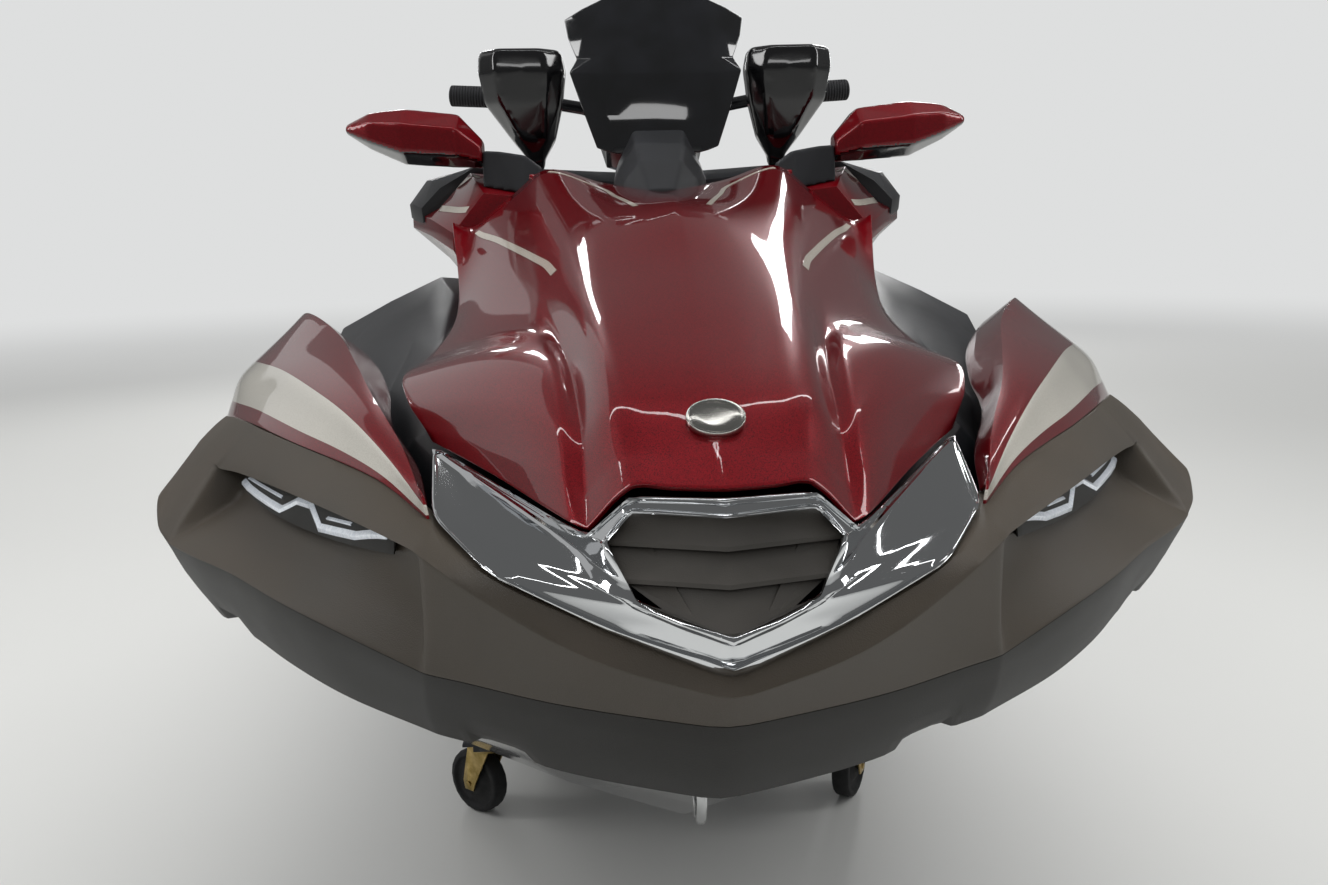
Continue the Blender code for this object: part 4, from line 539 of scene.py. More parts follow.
class Front:
    # the bumper's fine curves, shared by the bumper, its band and the lamps
    tuck, edge, brow, lip, foot, under = (hermite(r, FINE) for r in (TUCK, EDGE, BROW, LIP, FOOT, UNDER))
    depth = between(POCKET, FINE)
    count = len(depth)
    inward = [Vector((0, 1, 0))]
    for j in range(1, count):
        t = lip[min(j + 1, count - 1)] - lip[j - 1]
        inward.append(Vector((-t.y, t.x, 0)).normalized())
    ceiling = [Vector(b).lerp(p, 0.035) for b, p in zip(brow, lip)]
    wall_foot = [Vector(b).lerp(p, POCKET_FLOOR) for b, p in zip(brow, lip)]

    @classmethod
    def set_back(cls, row, amounts):
        return [p + n * a for p, n, a in zip(row, cls.inward, amounts)]


class CRAFT_OT_bumper(bpy.types.Operator):
    """Grey-brown bow bumper with a pocket on each side, and the dark band under it"""
    bl_idname = "craft.bumper"
    bl_label = "Bow bumper"

    def execute(self, context):
        f = Front
        rim = [p.lerp(q, 0.45) + Vector((0, 0, 0.0020)) for p, q in zip(f.edge, f.brow)]
        ceiling, wall = f.set_back(f.ceiling, f.depth), f.set_back(f.wall_foot, f.depth)
        chamfer = [a.lerp(b, 0.90) for a, b in zip(wall, f.lip)]
        rows = both_sides([f.tuck, f.edge, rim, f.brow, ceiling, wall, chamfer, f.lip])
        ob = sheet_of("bow_bumper_piece", rows)
        for k, value in ((1, 0.55), (3, 0.62), (4, 0.85), (5, 0.45), (7, 0.9)):
            crease_lines(ob, [rows[k]], value)
        skin(ob, (0, -1, 0.2))
        dress(ob, "bumper", "craft", ("bow_bumper",), smooth=38.0)
        drop = Vector((0, 0, 0.0006))
        lip = [p - drop for p in f.lip]
        belly = [p.lerp(q, 0.5) + n * -0.004 for p, q, n in zip(lip, f.foot, f.inward)]
        rows = both_sides([lip, belly, f.foot, f.under])
        band = sheet_of("bumper_lower_piece", rows)
        crease_lines(band, [rows[0], rows[2]], 0.7)
        skin(band, (0, -1, -0.2))
        # the band's darker colour stands partly for painted shade under the bumper
        dress(band, "band", "craft", ("bumper_lower",), smooth=38.0)
        return {"FINISHED"}


# Lamps: the height at every half column of the pocket, and the fine column where they start
LAMP_HEIGHT = [0.018, 0.025, 0.030, 0.032, 0.032, 0.030, 0.026, 0.020, 0.012]
LAMP_START = 9 * FINE // 2
# light guides: (share of the way along the lamp, share of the way down) and half the width
GUIDES = [([(0.03, 0.12), (0.17, 0.62), (0.36, 0.76), (0.44, 0.26), (0.52, 0.30), (0.60, 0.74), (0.97, 0.72)], 0.0040),
          ([(0.20, 0.30), (0.33, 0.42)], 0.0018), ([(0.62, 0.40), (0.93, 0.36)], 0.0018)]


class CRAFT_OT_lamps(bpy.types.Operator):
    """Slim running lamps in the pockets: a dark housing with stepped light guides"""
    bl_idname = "craft.lamps"
    bl_label = "Lamps"

    def front_face(self):
        # the top and lower edges of the lamp's front
        f = Front
        heights = between(LAMP_HEIGHT, FINE // 2)
        top_row, low_row = [], []
        for k, h in enumerate(heights):
            j = LAMP_START + k
            n = f.inward[j]
            share = h / (f.brow[j].z - f.wall_foot[j].z)
            depth = 0.0066 + f.depth[j] * 0.40
            top, low = Vector(f.ceiling[j]), f.ceiling[j].lerp(f.wall_foot[j], share)
            top_row.append(top + n * (depth + 0.001) - Vector((0, 0, 0.0012)))
            low_row.append(low + n * depth)
        return top_row, low_row

    def execute(self, context):
        for side, tag in SIDES:
            def placed(p):
                return (side * p.x, p.y, p.z)
            top, low = self.front_face()
            bulge = [p.lerp(q, 0.5) - Vector((0, 0.0016, 0)) for p, q in zip(top, low)]
            back_top, back_low = [p + Vector((0, 0.006, 0)) for p in top], [q + Vector((0, 0.012, 0)) for q in low]
            rows = [[placed(p) for p in row] for row in (back_top, top, bulge, low, back_low)]
            housing = sheet_of("lamp_housing_" + tag, rows)
            crease_lines(housing, [rows[1], rows[3]], 0.8)
            skin(housing, (0, -1, 0), thickness=0.0015, rim=0.0004)
            dress(housing, "band", "craft", ("lamp_" + tag,), smooth=50.0)
            steps = len(top) - 1
            for part, (line, width) in enumerate(GUIDES):
                rows = []
                for (u0, v0), (u1, v1) in zip(line, line[1:]):
                    rows += [(u0 + (u1 - u0) * k / 4, v0 + (v1 - v0) * k / 4) for k in range(4)]
                rows.append(line[-1])
                strip = []
                for u, v in rows:
                    j = min(int(u * steps), steps - 1)
                    a, b = top[j].lerp(top[j + 1], u * steps - j), low[j].lerp(low[j + 1], u * steps - j)
                    n = Front.inward[LAMP_START + j]
                    half = (a - b).normalized() * min(width, (a - b).length * 0.26)
                    c = a.lerp(b, v)
                    strip.append([placed(q) for q in (c + half - n * 0.0012, c - n * 0.0032, c - half - n * 0.0012)])
                ob = sheet_of("lamp_guide_%d_%s" % (part, tag), strip)
                skin(ob, (0, -1, 0), levels=0, thickness=0.0012, rim=0.0003)
                dress(ob, "guide", "craft")
        return {"FINISHED"}


# Fender rows: lower edge, outer face, ridge, inner edge
FENDER = [
    points("216 209 815.7  263 282 828.5  316 362 830.5  379 457 829.5  473 626 821.5  576 867 790.5  "
           "585 1100 756.5  579 1370 714"),
    points("219 214 826  260 298 850  310 395 870  366 515 879  455 710 876  572 915 835  584 1110 815  578 1360 760"),
    points("222 222 832  252 315 854  298 435 877  342 575 890  412 800 901  507 1040 906  550 1160 880  553 1350 798"),
    points("220 240 819  241 328 831  284 450 846  312 590 855  374 815 863  470 1055 872  512 1165 848  516 1345 774"),
]
STRIPE_LOW = [0.14, 0.12, 0.11, 0.10, 0.10, 0.11, 0.13, 0.15]
STRIPE_HIGH = [0.52, 0.50, 0.48, 0.46, 0.44, 0.44, 0.48, 0.55]


class CRAFT_OT_fenders(bpy.types.Operator):
    """Red fenders with a broad warm white stripe above a thin red edge"""
    bl_idname = "craft.fenders"
    bl_label = "Fenders"

    def execute(self, context):
        low, mid, ridge, inner = ([Vector(p) for p in r] for r in FENDER)

        def on_face(shares):
            out = []
            for a, b, c, t in zip(low, mid, ridge, shares):
                first, second = (b - a).length, (c - b).length
                d = t * (first + second)
                out.append(a.lerp(b, d / first) if d < first else b.lerp(c, (d - first) / second))
            return out
        stripe_low, stripe_high = on_face(STRIPE_LOW), on_face(STRIPE_HIGH)
        band = on_face([(a + b) / 2 for a, b in zip(STRIPE_LOW, STRIPE_HIGH)])
        shoulder = on_face([(1 + b) / 2 for b in STRIPE_HIGH])
        lines = [low, stripe_low, band, stripe_high, shoulder, ridge, [a.lerp(b, 0.5) for a, b in zip(ridge, inner)],
                 inner]
        rows = refine(lines, 5, 2, row_breaks=(5,))
        port = sheet_of("fender_port_piece", rows)
        crease_lines(port, [rows[10]], 0.92)
        crease_lines(port, [rows[2], rows[6]], 0.3)
        for f in port.data.polygons:
            f.material_index = 1 if 2 <= min(f.vertices) // len(rows[0]) < 6 else 0
        star = mirrored_piece(port, "fender_starboard_piece")
        for ob, tag, way in ((port, "port", 1), (star, "starboard", -1)):
            skin(ob, (way, -0.4, 0.8))
            dress(ob, ("red", "white"), "craft", ("fender_" + tag,), smooth=40.0)
        return {"FINISHED"}


# Front lid; columns from the centre ridge outward, each from the bow edge back to the hinge edge
HOOD_COLS = [
    points("0 66 868  0 95 884  0 165 918  0 300 951  0 500 995  0 720 1050  0 1045 1064"),
    points("34 74 868  36 104 883  42 169 916  51 302 949  64 504 988  78 735 1038  90 1055 1080"),
    points("61 84 867  65 114 881  73 174 912  85 304 944  104 509 979  129 750 1027  163 1072 1100"),
    points("90 88 838  92 120 853  95 176 885  108 309 916  141 518 950  175 759 995  212 1075 1066"),
    points("104 105 839  109 140 861  115 205 896  127 335 927  167 537 934  209 771 969  245 1070 1040"),
    points("165 235 842  170 258 857  179 313 892  195 420 915  222 601 910  245 808 942  272 1060 1020"),
    points("236 378 843  246 400 852  270 460 866  291 560 879  284 700 882  270 850 920  298 1050 1028"),
]


# how many fine rows the channel's sharp edges run back
CHANNEL_ROWS = 30


class CRAFT_OT_hood(bpy.types.Operator):
    """Front lid with a centre ridge, a channel each side and a folded front edge"""
    bl_idname = "craft.hood"
    bl_label = "Front lid"

    def execute(self, context):
        rows = [[c[i] for c in HOOD_COLS] for i in range(len(HOOD_COLS[0]))]
        # a lip under the front edge turns in before the fold
        rows = both_sides(refine(rows, 4, 5, col_breaks=(3,), row_breaks=(1,)))
        ob = sheet_of("hood_piece", rows)
        mid = len(rows[0]) // 2
        crease_lines(ob, [[r[mid] for r in rows]], 0.9)
        for k, value in ((8, 0.70), (12, 0.85)):
            crease_lines(ob, [[r[mid + way * k] for r in rows[:CHANNEL_ROWS]] for way in (1, -1)], value)
        crease_lines(ob, [rows[5]], 0.72)
        skin(ob, (0, 0, 1), thickness=0.0035, rim=0.0012)
        dress(ob, "red", "hood_body", ("hood",), smooth=40.0)
        tree = surface_tree([ob])
        for key, plan in (("rear", [(0.043, 0.748), (0.066, 0.869), (0.092, 0.985), (0.160, 1.055)]),
                          ("flank", [(0.133, 0.590), (0.147, 0.655), (0.217, 0.896), (0.262, 1.030)])):
            pinstripe("hood_line_" + key, plan, tree, "hood_body", "hood")
        for side, tag in SIDES:
            lug = lug_piece(side, tag)
            dress(lug, "red", "hood_body")
        return {"FINISHED"}


# The lid's hinge, as in the solids
HINGE = Vector((0, Y(1.096), 1.086))
LUG_X, LUG_W = 0.176, 0.007


def lug_piece(side, tag):
    # one hinge lug under the lid's rear corner: a rounded plate with its pin
    deselect()
    bpy.ops.mesh.primitive_cylinder_add(vertices=24, radius=0.0075, depth=LUG_W, rotation=(0, math.pi / 2, 0),
                                        location=(side * (LUG_X + LUG_W / 2), HINGE.y, HINGE.z))
    eye = bpy.context.active_object
    eye.name = "hood_lug_" + tag
    deselect()
    bpy.ops.mesh.primitive_cube_add(size=1.0, location=(side * (LUG_X + LUG_W / 2), HINGE.y - 0.018, HINGE.z - 0.0048))
    arm = bpy.context.active_object
    arm.scale = (LUG_W, 0.034, 0.0066)
    deselect()
    bpy.ops.mesh.primitive_cylinder_add(vertices=16, radius=0.0038, depth=0.016, rotation=(0, math.pi / 2, 0),
                                        location=(side * (LUG_X + LUG_W), HINGE.y, HINGE.z))
    pin = bpy.context.active_object
    pick(eye)
    arm.select_set(True)
    pin.select_set(True)
    bpy.ops.object.transform_apply(location=True, rotation=True, scale=True)
    bpy.ops.object.join()
    bevel(eye, 0.0008, 40)
    return eye


# Bright mask: outer and inner outlines of one half, from the top centre round to the bottom centre
MASK_OUT = points("0 58 863.5  61 76 862.5  92 80 833.5  160 217 836.5  234 368 840  212 207 819.5  160 108 803  "
                  "80 52 780  0 12 758")
MASK_IN = points("0 48 853  61 64 855  77 56 838  71 49 826  64 42 814  58 36 803  39 26 798  20 16 793  0 6 788")
# turned lip along the rim: how far in from the edge as a share of its width, and how far forward
MASK_RIM = [(0.10, 0.0030), (0.55, 0.0044), (1.00, 0.0046), (1.25, 0.0)]
RIM_LOW, RIM_TOP = 0.0095, 0.0036
# the plate inside the lip: share of the way in, and how far it stands forward where it is WING_WIDTH wide or more
WING_WIDTH = 0.090
MASK_STEPS = [(0.35, 0.0), (0.55, 0.0), (0.76, 0.0), (0.82, 0.001), (0.86, 0.005), (0.94, 0.0055)]


class CRAFT_OT_mask(bpy.types.Operator):
    """Chrome mask with a turned lip and a bezel round the opening, and the louvred grille in it"""
    bl_idname = "craft.mask"
    bl_label = "Mask and grille"

    def execute(self, context):
        def loop(half):
            pts = []
            for a, b in zip(half, half[1:]):
                pts += [Vector(a).lerp(Vector(b), k / 4) for k in range(4)]
            pts.append(Vector(half[-1]))
            return pts + [Vector((-p.x, p.y, p.z)) for p in reversed(pts[1:-1])]
        outer, inner = loop(MASK_OUT), loop(MASK_IN)
        rows = [outer]
        top = len(MASK_OUT) // 2 * 4
        widths = [RIM_TOP if min(k, len(outer) - k) <= top else RIM_LOW for k in range(len(outer))]
        for share, out in MASK_RIM:
            rows.append([o + (i - o).normalized() * w * share - Vector((0, out * w / RIM_LOW, 0))
                         for o, i, w in zip(outer, inner, widths)])
        for share, out in MASK_STEPS:
            rows.append([o.lerp(i, share) - Vector((0, out * min(1.0, (o - i).length / WING_WIDTH), 0))
                         for o, i in zip(outer, inner)])
        rows.append(inner)
        rows.append([p + Vector((0, 0.006, 0)) for p in inner])
        ob = sheet_of("chrome_mask_piece", rows, closed=True)
        crease_lines(ob, [rows[0], rows[-2]], 0.8)
        crease_lines(ob, [rows[3], rows[4], rows[-3], rows[-4]], 0.6)
        skin(ob, (0, -1, 0), thickness=0.0022, rim=0.0006)
        dress(ob, "chrome", "craft", ("chrome_mask",), smooth=50.0)
        rounded("grille", "grille", "craft", 0.0009, angle=30.0, smooth=30.0)
        return {"FINISHED"}


BADGE_S, BADGE_R = 0.130, 0.0208


class CRAFT_OT_badge(bpy.types.Operator):
    """Plain round badge on the lid's ridge"""
    bl_idname = "craft.badge"
    bl_label = "Badge"

    def execute(self, context):
        tree = surface_tree([bpy.data.objects["hood_piece"]])
        hits = [below(tree, 0, BADGE_S + d) for d in (0, -BADGE_R, BADGE_R)]
        at, normal = hits[0][0], sum((h[1] for h in hits), Vector((0, 0, 0))).normalized()
        normal.x = 0
        deselect()
        bpy.ops.mesh.primitive_cylinder_add(vertices=48, radius=BADGE_R, depth=0.0044, location=(0, 0, 0))
        ob = context.active_object
        ob.name = "hood_badge_piece"
        pick(ob)
        bpy.ops.object.mode_set(mode="EDIT")
        bpy.ops.mesh.select_mode(type="FACE")
        bpy.ops.mesh.select_all(action="DESELECT")
        bpy.ops.object.mode_set(mode="OBJECT")
        for f in ob.data.polygons:
            f.select = f.normal.z > 0.9
        bpy.ops.object.mode_set(mode="EDIT")
        for share, rise in ((0.16, -0.0010), (0.07, 0.0006), (0.30, 0.0006)):
            bpy.ops.mesh.inset(thickness=BADGE_R * share)
            bpy.ops.transform.translate(value=(0, 0, rise))
        bpy.ops.object.mode_set(mode="OBJECT")
        bevel(ob, 0.0005, 40)
        turn = normal.to_track_quat("Z", "Y").to_matrix().to_4x4()
        ob.data.transform(Matrix.Translation(at + normal * 0.0008) @ turn)
        dress(ob, "badge", "hood_body")
        return {"FINISHED"}


class CRAFT_OT_upper(bpy.types.Operator):
    """Cowl, dash, nose cone, deflector, speaker pods, mirrors and glove box lid"""
    bl_idname = "craft.upper"
    bl_label = "Upper body"

    def execute(self, context):
        rounded("cowl", "red", "craft", 0.0060, 3, smooth=50.0)
        rounded("dash_surround", "satin", "craft", 0.0060, 3, smooth=50.0)
        moulded_form("nose_cone", "satin", "craft", 0.0030, 8)
        tree = surface_tree([bpy.data.objects["cowl_piece"]])
        for key, plan in (("low", [(0.284, 1.115), (0.345, 1.212)]), ("high", [(0.338, 1.222), (0.272, 1.180)])):
            pinstripe("cowl_line_" + key, plan, tree, "craft", "cowl")
        rounded("windscreen", "smoke", "craft", 0.0050, 3, angle=10.0, smooth=60.0)
        rounded("glovebox_lid", "satin", "glovebox_body", 0.0020)
        for tag in ("port", "starboard"):
            moulded_form("speaker_pod_" + tag, "gloss", "craft", 0.0034, 14)
            moulded_form("mirror_base_" + tag, "satin", "craft", 0.0030, 8)
            shell = moulded_form("mirror_housing_" + tag, ("red", "gloss"), "craft", 0.0030, 10)
            for f in shell.data.polygons:
                f.material_index = 1 if f.normal.z < -0.30 else 0
            rounded("mirror_glass_" + tag, "mirror", "craft", 0.0008)
        return {"FINISHED"}


class CRAFT_OT_steering(bpy.types.Operator):
    """Handlebar cover, neck and ringed grips"""
    bl_idname = "craft.steering"
    bl_label = "Steering"

    def execute(self, context):
        rounded("steering_cover", "gloss", "steering_body", 0.0040, 3)
        rounded("steering_neck", "gloss", "craft", 0.0020)
        for tag in ("port", "starboard"):
            rounded("grip_" + tag, "grip", "steering_body", 0.0025, 3)
        return {"FINISHED"}


class CRAFT_OT_hull(bpy.types.Operator):
    """Hull, both deck panels, mats, grab rail, rub rails and sponsons"""
    bl_idname = "craft.hull"
    bl_label = "Hull and deck"

    def execute(self, context):
        rounded("hull", "hull", "craft", 0.0060, 3, angle=14.0, smooth=45.0)
        rounded("deck", "deck", "craft", 0.0080, 3, angle=18.0, smooth=50.0)
        rounded("bow_deck", "deck", "craft", 0.0080, 3, angle=18.0, smooth=50.0)
        rounded("platform_mat", "foam", "craft", 0.0015)
        rounded("grab_rail", "gloss", "craft", 0.0020)
        for tag in ("port", "starboard"):
            rounded("footwell_mat_" + tag, "foam", "craft", 0.0015)
            rounded("rub_rail_" + tag, "rubber", "craft", 0.0050, 3)
            rounded("sponson_" + tag, "deck", "craft", 0.0050, 3)
        return {"FINISHED"}


class CRAFT_OT_seats(bpy.types.Operator):
    """Two sewn seats, swelled by cloth simulation and then seamed"""
    bl_idname = "craft.seats"
    bl_label = "Seats"

    def execute(self, context):
        for node in ("front_seat", "rear_seat"):
            ob = merged_copy(node, node + "_piece")
            seat_cover(ob)
            dress(ob, ("vinyl", "side_vinyl"), "craft", (node,), smooth=60.0)
            seam_lines(ob, node)
        return {"FINISHED"}


def push(ob, amounts):
    # moves each vertex along its normal
    normals = [v.normal.copy() for v in ob.data.vertices]
    for v, n, a in zip(ob.data.vertices, normals, amounts):
        v.co += n * a


# How far the cover starts inside its solid, the radius of its edges, and the pressure and frames of its simulation
CORE_INSET, SEAT_EDGE = 0.0035, 0.012
PRESSURE, CLOTH_FRAMES = 4.0, 20


def seat_cover(ob):
    # a slightly smaller core, remeshed and swelled by cloth under pressure
    bevel(ob, SEAT_EDGE, 25, 3)
    modify(ob, "REMESH", mode="VOXEL", voxel_size=sizes().voxel, use_smooth_shade=True)
    modify(ob, "SMOOTH", factor=0.5, iterations=4)
    push(ob, [-CORE_INSET] * len(ob.data.vertices))
    rest = [v.co.copy() for v in ob.data.vertices]
    pick(ob)
    cloth = ob.modifiers.new("cloth", "CLOTH")
    cloth.settings.use_pressure = True
    cloth.settings.uniform_pressure_force = PRESSURE
    cloth.settings.effector_weights.gravity = 0.0
    cloth.settings.quality = 4
    scene = bpy.context.scene
    for k in range(1, CLOTH_FRAMES + 1):
        scene.frame_set(k)
    shape = ob.evaluated_get(bpy.context.evaluated_depsgraph_get()).data
    swelled = [v.co.copy() for v in shape.vertices]
    ob.modifiers.remove(cloth)
    scene.frame_set(1)
    reach = sizes().puff
    for v, a, b in zip(ob.data.vertices, rest, swelled):
        d = b - a
        v.co = a + (d if d.length <= reach else d.normalized() * reach)


# Sewn lines of the seats: (x, s) centre lines seen from above
SEAMS = {
    "front_seat": [[(0.075, 1.725), (0.092, 1.85), (0.112, 2.00), (0.128, 2.15), (0.140, 2.30), (0.144, 2.41)],
                   [(-0.115, 2.12), (0.0, 2.09), (0.115, 2.12)]],
    "rear_seat": [[(0.138, 2.45), (0.146, 2.62), (0.142, 2.80), (0.136, 2.95), (0.118, 3.035)],
                  [(-0.135, 2.74), (0.0, 2.71), (0.135, 2.74)]],
}
SEAM_HALF, SEAM_DEEP = 0.008, 0.0035
# the stitches: distance from the seam, step, half length, half width, and how far they stand up and reach down
STITCH_OFF, STITCH_STEP, STITCH_LONG, STITCH_WIDE = 0.006, 0.007, 0.0023, 0.0006
STITCH_UP, STITCH_DOWN = 0.0008, 0.0006


def seam_lines(ob, node):
    # presses the sewn lines into the cover and lays a row of stitches beside each
    plans = []
    for line in SEAMS[node]:
        plans.append(line)
        if min(x for x, s in line) > 0:
            plans.append([(-x, s) for x, s in line])
    fine = [hermite([(x, s, 0.0) for x, s in line], 8) for line in plans]
    dense = [a.lerp(b, k / 12) for line in fine for a, b in zip(line, line[1:]) for k in range(12)]
    tree = KDTree(len(dense))
    for k, p in enumerate(dense):
        tree.insert(p, k)
    tree.balance()
    amounts = []
    for v in ob.data.vertices:
        near = tree.find((v.co.x, v.co.y - BOW_Y, 0))[2] if v.normal.z > 0.15 else SEAM_HALF
        share = min(1.0, near / SEAM_HALF)
        amounts.append(-SEAM_DEEP * (0.5 + 0.5 * math.cos(math.pi * share)))
    push(ob, amounts)
    for f in ob.data.polygons:
        edge = station_x(fine[0], f.center.y - BOW_Y)
        f.material_index = 1 if abs(f.center.x) > edge + 0.004 and f.normal.z < 0.75 else 0
    tree = surface_tree([ob])
    threads = []
    for line in fine:
        for off in (-STITCH_OFF, STITCH_OFF):
            rows = []
            for i, p in enumerate(line):
                d = line[min(i + 1, len(line) - 1)] - line[max(i - 1, 0)]
                q = p + Vector((-d.y, d.x, 0)).normalized() * off
                at, normal = below(tree, q.x, q.y)
                if at is not None:
                    rows.append(at + normal * 0.0004)
            if len(rows) > 3:
                threads.append(stitches(rows))
    pick(threads[0])
    for t in threads[1:]:
        t.select_set(True)
    bpy.ops.object.join()
    threads[0].name = node + "_stitching"
    return dress(threads[0], "thread", "craft")


def station_x(line, s):
    for a, b in zip(line, line[1:]):
        if a.y <= s <= b.y:
            return a.x + (b.x - a.x) * (s - a.y) / (b.y - a.y)
    return line[0].x if s < line[0].y else line[-1].x


def stitches(points):
    # a row of flat diamonds along the points
    verts, faces = [], []
    run = 0.0
    for a, b in zip(points, points[1:]):
        d = b - a
        length = d.length
        if length < 1e-6:
            continue
        way = d / length
        across = way.cross(Vector((0, 0, 1))).normalized() * STITCH_WIDE
        while run < length:
            c, k = a + way * run, len(verts)
            verts += [c - way * STITCH_LONG, c - across, c + way * STITCH_LONG, c + across,
                      c + Vector((0, 0, STITCH_UP)), c - Vector((0, 0, STITCH_DOWN))]
            for i in range(4):
                j = (i + 1) % 4
                faces += [(k + i, k + j, k + 4), (k + j, k + i, k + 5)]
            run += STITCH_STEP
        run -= length
    me = bpy.data.meshes.new("stitches")
    me.from_pydata(verts, [], faces)
    return linked("stitches", me)


class CRAFT_OT_drive(bpy.types.Operator):
    """Engine block, jet pump, nozzle, reverse bucket, ride plate and impeller"""
    bl_idname = "craft.drive"
    bl_label = "Jet drive"

    def execute(self, context):
        rounded("engine_block", "engine", "craft", 0.0040)
        rounded("pump_housing", "alloy", "craft", 0.0015)
        rounded("ride_plate", "alloy", "craft", 0.0015)
        rounded("steering_nozzle", "alloy", "nozzle_body", 0.0012)
        rounded("reverse_bucket", "alloy", "bucket_body", 0.0012)
        rounded("impeller", "steel", "impeller_body", 0.0005)
        rounded("boarding_step", "deck", "step_body", 0.0020)
        for tag in ("bow_eye", "stern_eye_port", "stern_eye_starboard"):
            rounded(tag, "steel", "craft", 0.0008, angle=50.0, smooth=50.0)
        return {"FINISHED"}


class CRAFT_OT_cradle(bpy.types.Operator):
    """Shop cradle: steel frame, carpeted bunks and swivel casters"""
    bl_idname = "craft.cradle"
    bl_label = "Cradle"

    def execute(self, context):
        rounded("cradle_frame", "cart", "craft", 0.0030, 3)
        for tag in ("port", "starboard"):
            rounded("bunk_" + tag, "carpet", "craft", 0.0050, 3)
        for tag in ("front_port", "front_starboard", "rear_port", "rear_starboard"):
            rounded("caster_fork_" + tag, "zinc", "fork_" + tag, 0.0008)
            rounded("caster_wheel_" + tag, "rubber", "wheel_" + tag, 0.0015)
        return {"FINISHED"}


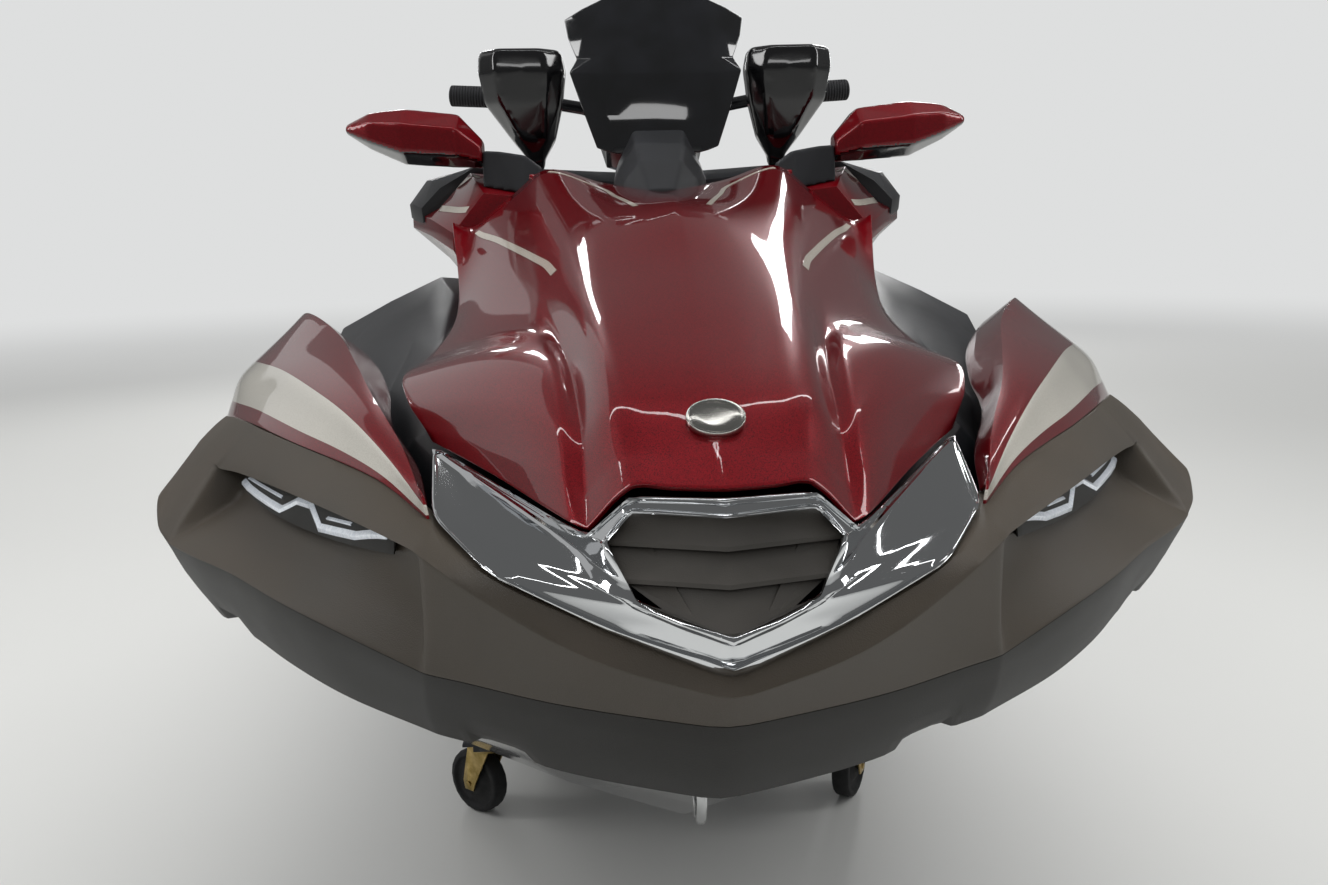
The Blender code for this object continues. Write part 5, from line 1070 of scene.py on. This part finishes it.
class CRAFT_OT_stage(bpy.types.Operator):
    """Floor, soft lights, world and the photograph's camera"""
    bl_idname = "craft.stage"
    bl_label = "Stage"

    def execute(self, context):
        scene = context.scene
        st = scene.craft_stage
        deselect()
        bpy.ops.mesh.primitive_plane_add(size=120.0, location=(0, 0, 0))
        floor = context.active_object
        floor.name = "studio_floor"
        mat, at, shader = finish("floor", "studio floor paint", st.floor, [("cloud", "TexNoise", {}, cloudy(0.8))],
                                 rough=("cloud", "Fac", 0.45, 0.6), Roughness=0.55)
        # far from the craft the floor passes into the backdrop's plain colour
        reach = add(mat, "VectorMath", {"operation": "LENGTH"}, {0: (at, "Vector")})
        far = add(mat, "MapRange", {"interpolation_type": "SMOOTHSTEP"},
                  {"Value": (reach, "Value"), "From Min": 3.5, "From Max": 12.0})
        glow = add(mat, "Emission", inputs={"Color": hex_linear(st.backdrop), "Strength": 0.95})
        direct = add(mat, "Math", {"operation": "MULTIPLY"},
                     {0: (far, "Result"), 1: (add(mat, "LightPath"), "Is Camera Ray")})
        both = add(mat, "MixShader", inputs={"Fac": (direct, "Value"), 1: (shader, "BSDF"), 2: (glow, "Emission")})
        mat.node_tree.links.new(both.outputs["Shader"], mat.node_tree.nodes["Material Output"].inputs["Surface"])
        floor.data.materials.append(mat)
        cam = linked("photo_camera", bpy.data.cameras.new("photo_camera"))
        cam.data.lens = st.lens
        cam.data.sensor_width = 36.0
        cam.data.clip_start = 0.02
        right = Vector((0.99911227, -0.03785813, -0.01847777))
        down = Vector((-0.02553665, -0.19543088, -0.98038495))
        ahead = Vector((0.03350441, 0.9799865, -0.19622416))
        turn = Matrix((right, -down, -ahead)).transposed().to_4x4()
        cam.matrix_world = Matrix.Translation(st.camera) @ turn
        scene.camera = cam

        # name, place, what it is aimed at, size, power, and whether reflections show it; the panes and tubes are the
        # crisp streaks in the paint, and the wall is what the mask's left half mirrors
        for name, place, aim, size, power, mirrored in (
                ("overhead_softbox", (0.35, -0.5, 3.3), (0.1, -0.3, 0.6), (1.2, 3.4), st.key, False),
                ("left_strip", (-3.2, -0.6, 2.6), (0, -0.8, 0.8), (0.5, 2.6), 20.0, True),
                ("right_strip", (3.3, -0.2, 2.6), (0, -0.6, 0.8), (0.5, 2.6), 20.0, True),
                ("front_fill", (-0.6, -5.2, 2.9), (0, -1.2, 0.6), (3.2, 0.5), 16.0, True),
                ("rear_rim", (-2.4, 4.2, 2.6), (0, 1.2, 0.8), (1.6, 1.6), 30.0, False),
                ("window_right", (2.3, 6.5, 3.3), (0, -0.5, 0.9), (0.7, 3.4), 60.0, True),
                ("window_left", (-1.9, 7.0, 3.4), (0, -0.5, 0.9), (0.35, 3.0), 26.0, True),
                ("wall_left", (-3.9, 3.1, 2.9), (0, -0.5, 0.9), (4.4, 3.0), 12.0, True),
                ("tube_left", (-1.0, -0.2, 3.3), (0, -0.5, 0.9), (0.08, 3.0), 5.0, True),
                ("tube_right", (1.1, 0.2, 3.3), (0, -0.5, 0.9), (0.08, 3.0), 5.0, True),
                ("room_fill", (0, 4.0, 9.0), (0, 4.001, 0), (40.0, 40.0), 3000.0, False)):
            light = bpy.data.lights.new(name, "AREA")
            light.shape, light.energy = "RECTANGLE", power
            light.size, light.size_y = size
            ob = linked(name, light)
            ob.location = place
            ob.rotation_euler = (Vector(aim) - Vector(place)).to_track_quat("-Z", "Y").to_euler()
            ob.visible_glossy = mirrored
        world = bpy.data.worlds.new("studio")
        scene.world = world
        world.use_nodes = True
        world.node_tree.nodes.clear()

        def background(colour, strength):
            return add(world, "Background", inputs={"Color": hex_linear(colour), "Strength": strength}), "Background"
        # light on the craft; the backdrop dimmed in reflections, as the room is dark round the windows; the backdrop
        lit, mirrored, seen = background("D2D6DA", 0.22), background(st.backdrop, 0.15), background(st.backdrop, 0.95)
        path = add(world, "LightPath")
        first = add(world, "MixShader", inputs={"Fac": (path, "Is Glossy Ray"), 1: lit, 2: mirrored})
        last = add(world, "MixShader", inputs={"Fac": (path, "Is Camera Ray"), 1: (first, "Shader"), 2: seen})
        add(world, "OutputWorld", inputs={"Surface": (last, "Shader")})
        scene.view_settings.view_transform = "Standard"
        return {"FINISHED"}


STEPS = (CRAFT_OT_stage, CRAFT_OT_hull, CRAFT_OT_bumper, CRAFT_OT_lamps, CRAFT_OT_fenders, CRAFT_OT_hood,
         CRAFT_OT_badge, CRAFT_OT_mask, CRAFT_OT_upper, CRAFT_OT_steering, CRAFT_OT_seats, CRAFT_OT_drive,
         CRAFT_OT_cradle)


class CRAFT_PT_panel(bpy.types.Panel):
    """Lists the pieces of the craft and their settings"""
    bl_label = "Watercraft"
    bl_idname = "CRAFT_PT_panel"
    bl_space_type = "VIEW_3D"
    bl_region_type = "UI"
    bl_category = "Craft"

    def draw(self, context):
        for group in (context.scene.craft_paint, context.scene.craft_sizes, context.scene.craft_stage):
            box = self.layout.box()
            for name in group.__annotations__:
                box.prop(group, name)
        for step in STEPS:
            self.layout.operator(step.bl_idname)


GROUPS = {"craft_paint": CraftPaint, "craft_sizes": CraftSizes, "craft_stage": CraftStage}


def register():
    for cls in (*GROUPS.values(), *STEPS, CRAFT_PT_panel):
        bpy.utils.register_class(cls)
    for name, cls in GROUPS.items():
        setattr(bpy.types.Scene, name, bpy.props.PointerProperty(type=cls))


def unregister():
    for name in GROUPS:
        delattr(bpy.types.Scene, name)
    for cls in reversed((*GROUPS.values(), *STEPS, CRAFT_PT_panel)):
        bpy.utils.unregister_class(cls)


def main():
    register()
    make_materials()
    for step in STEPS:
        group, name = step.bl_idname.split(".")
        getattr(getattr(bpy.ops, group), name)()


if __name__ == "__main__":
    main()
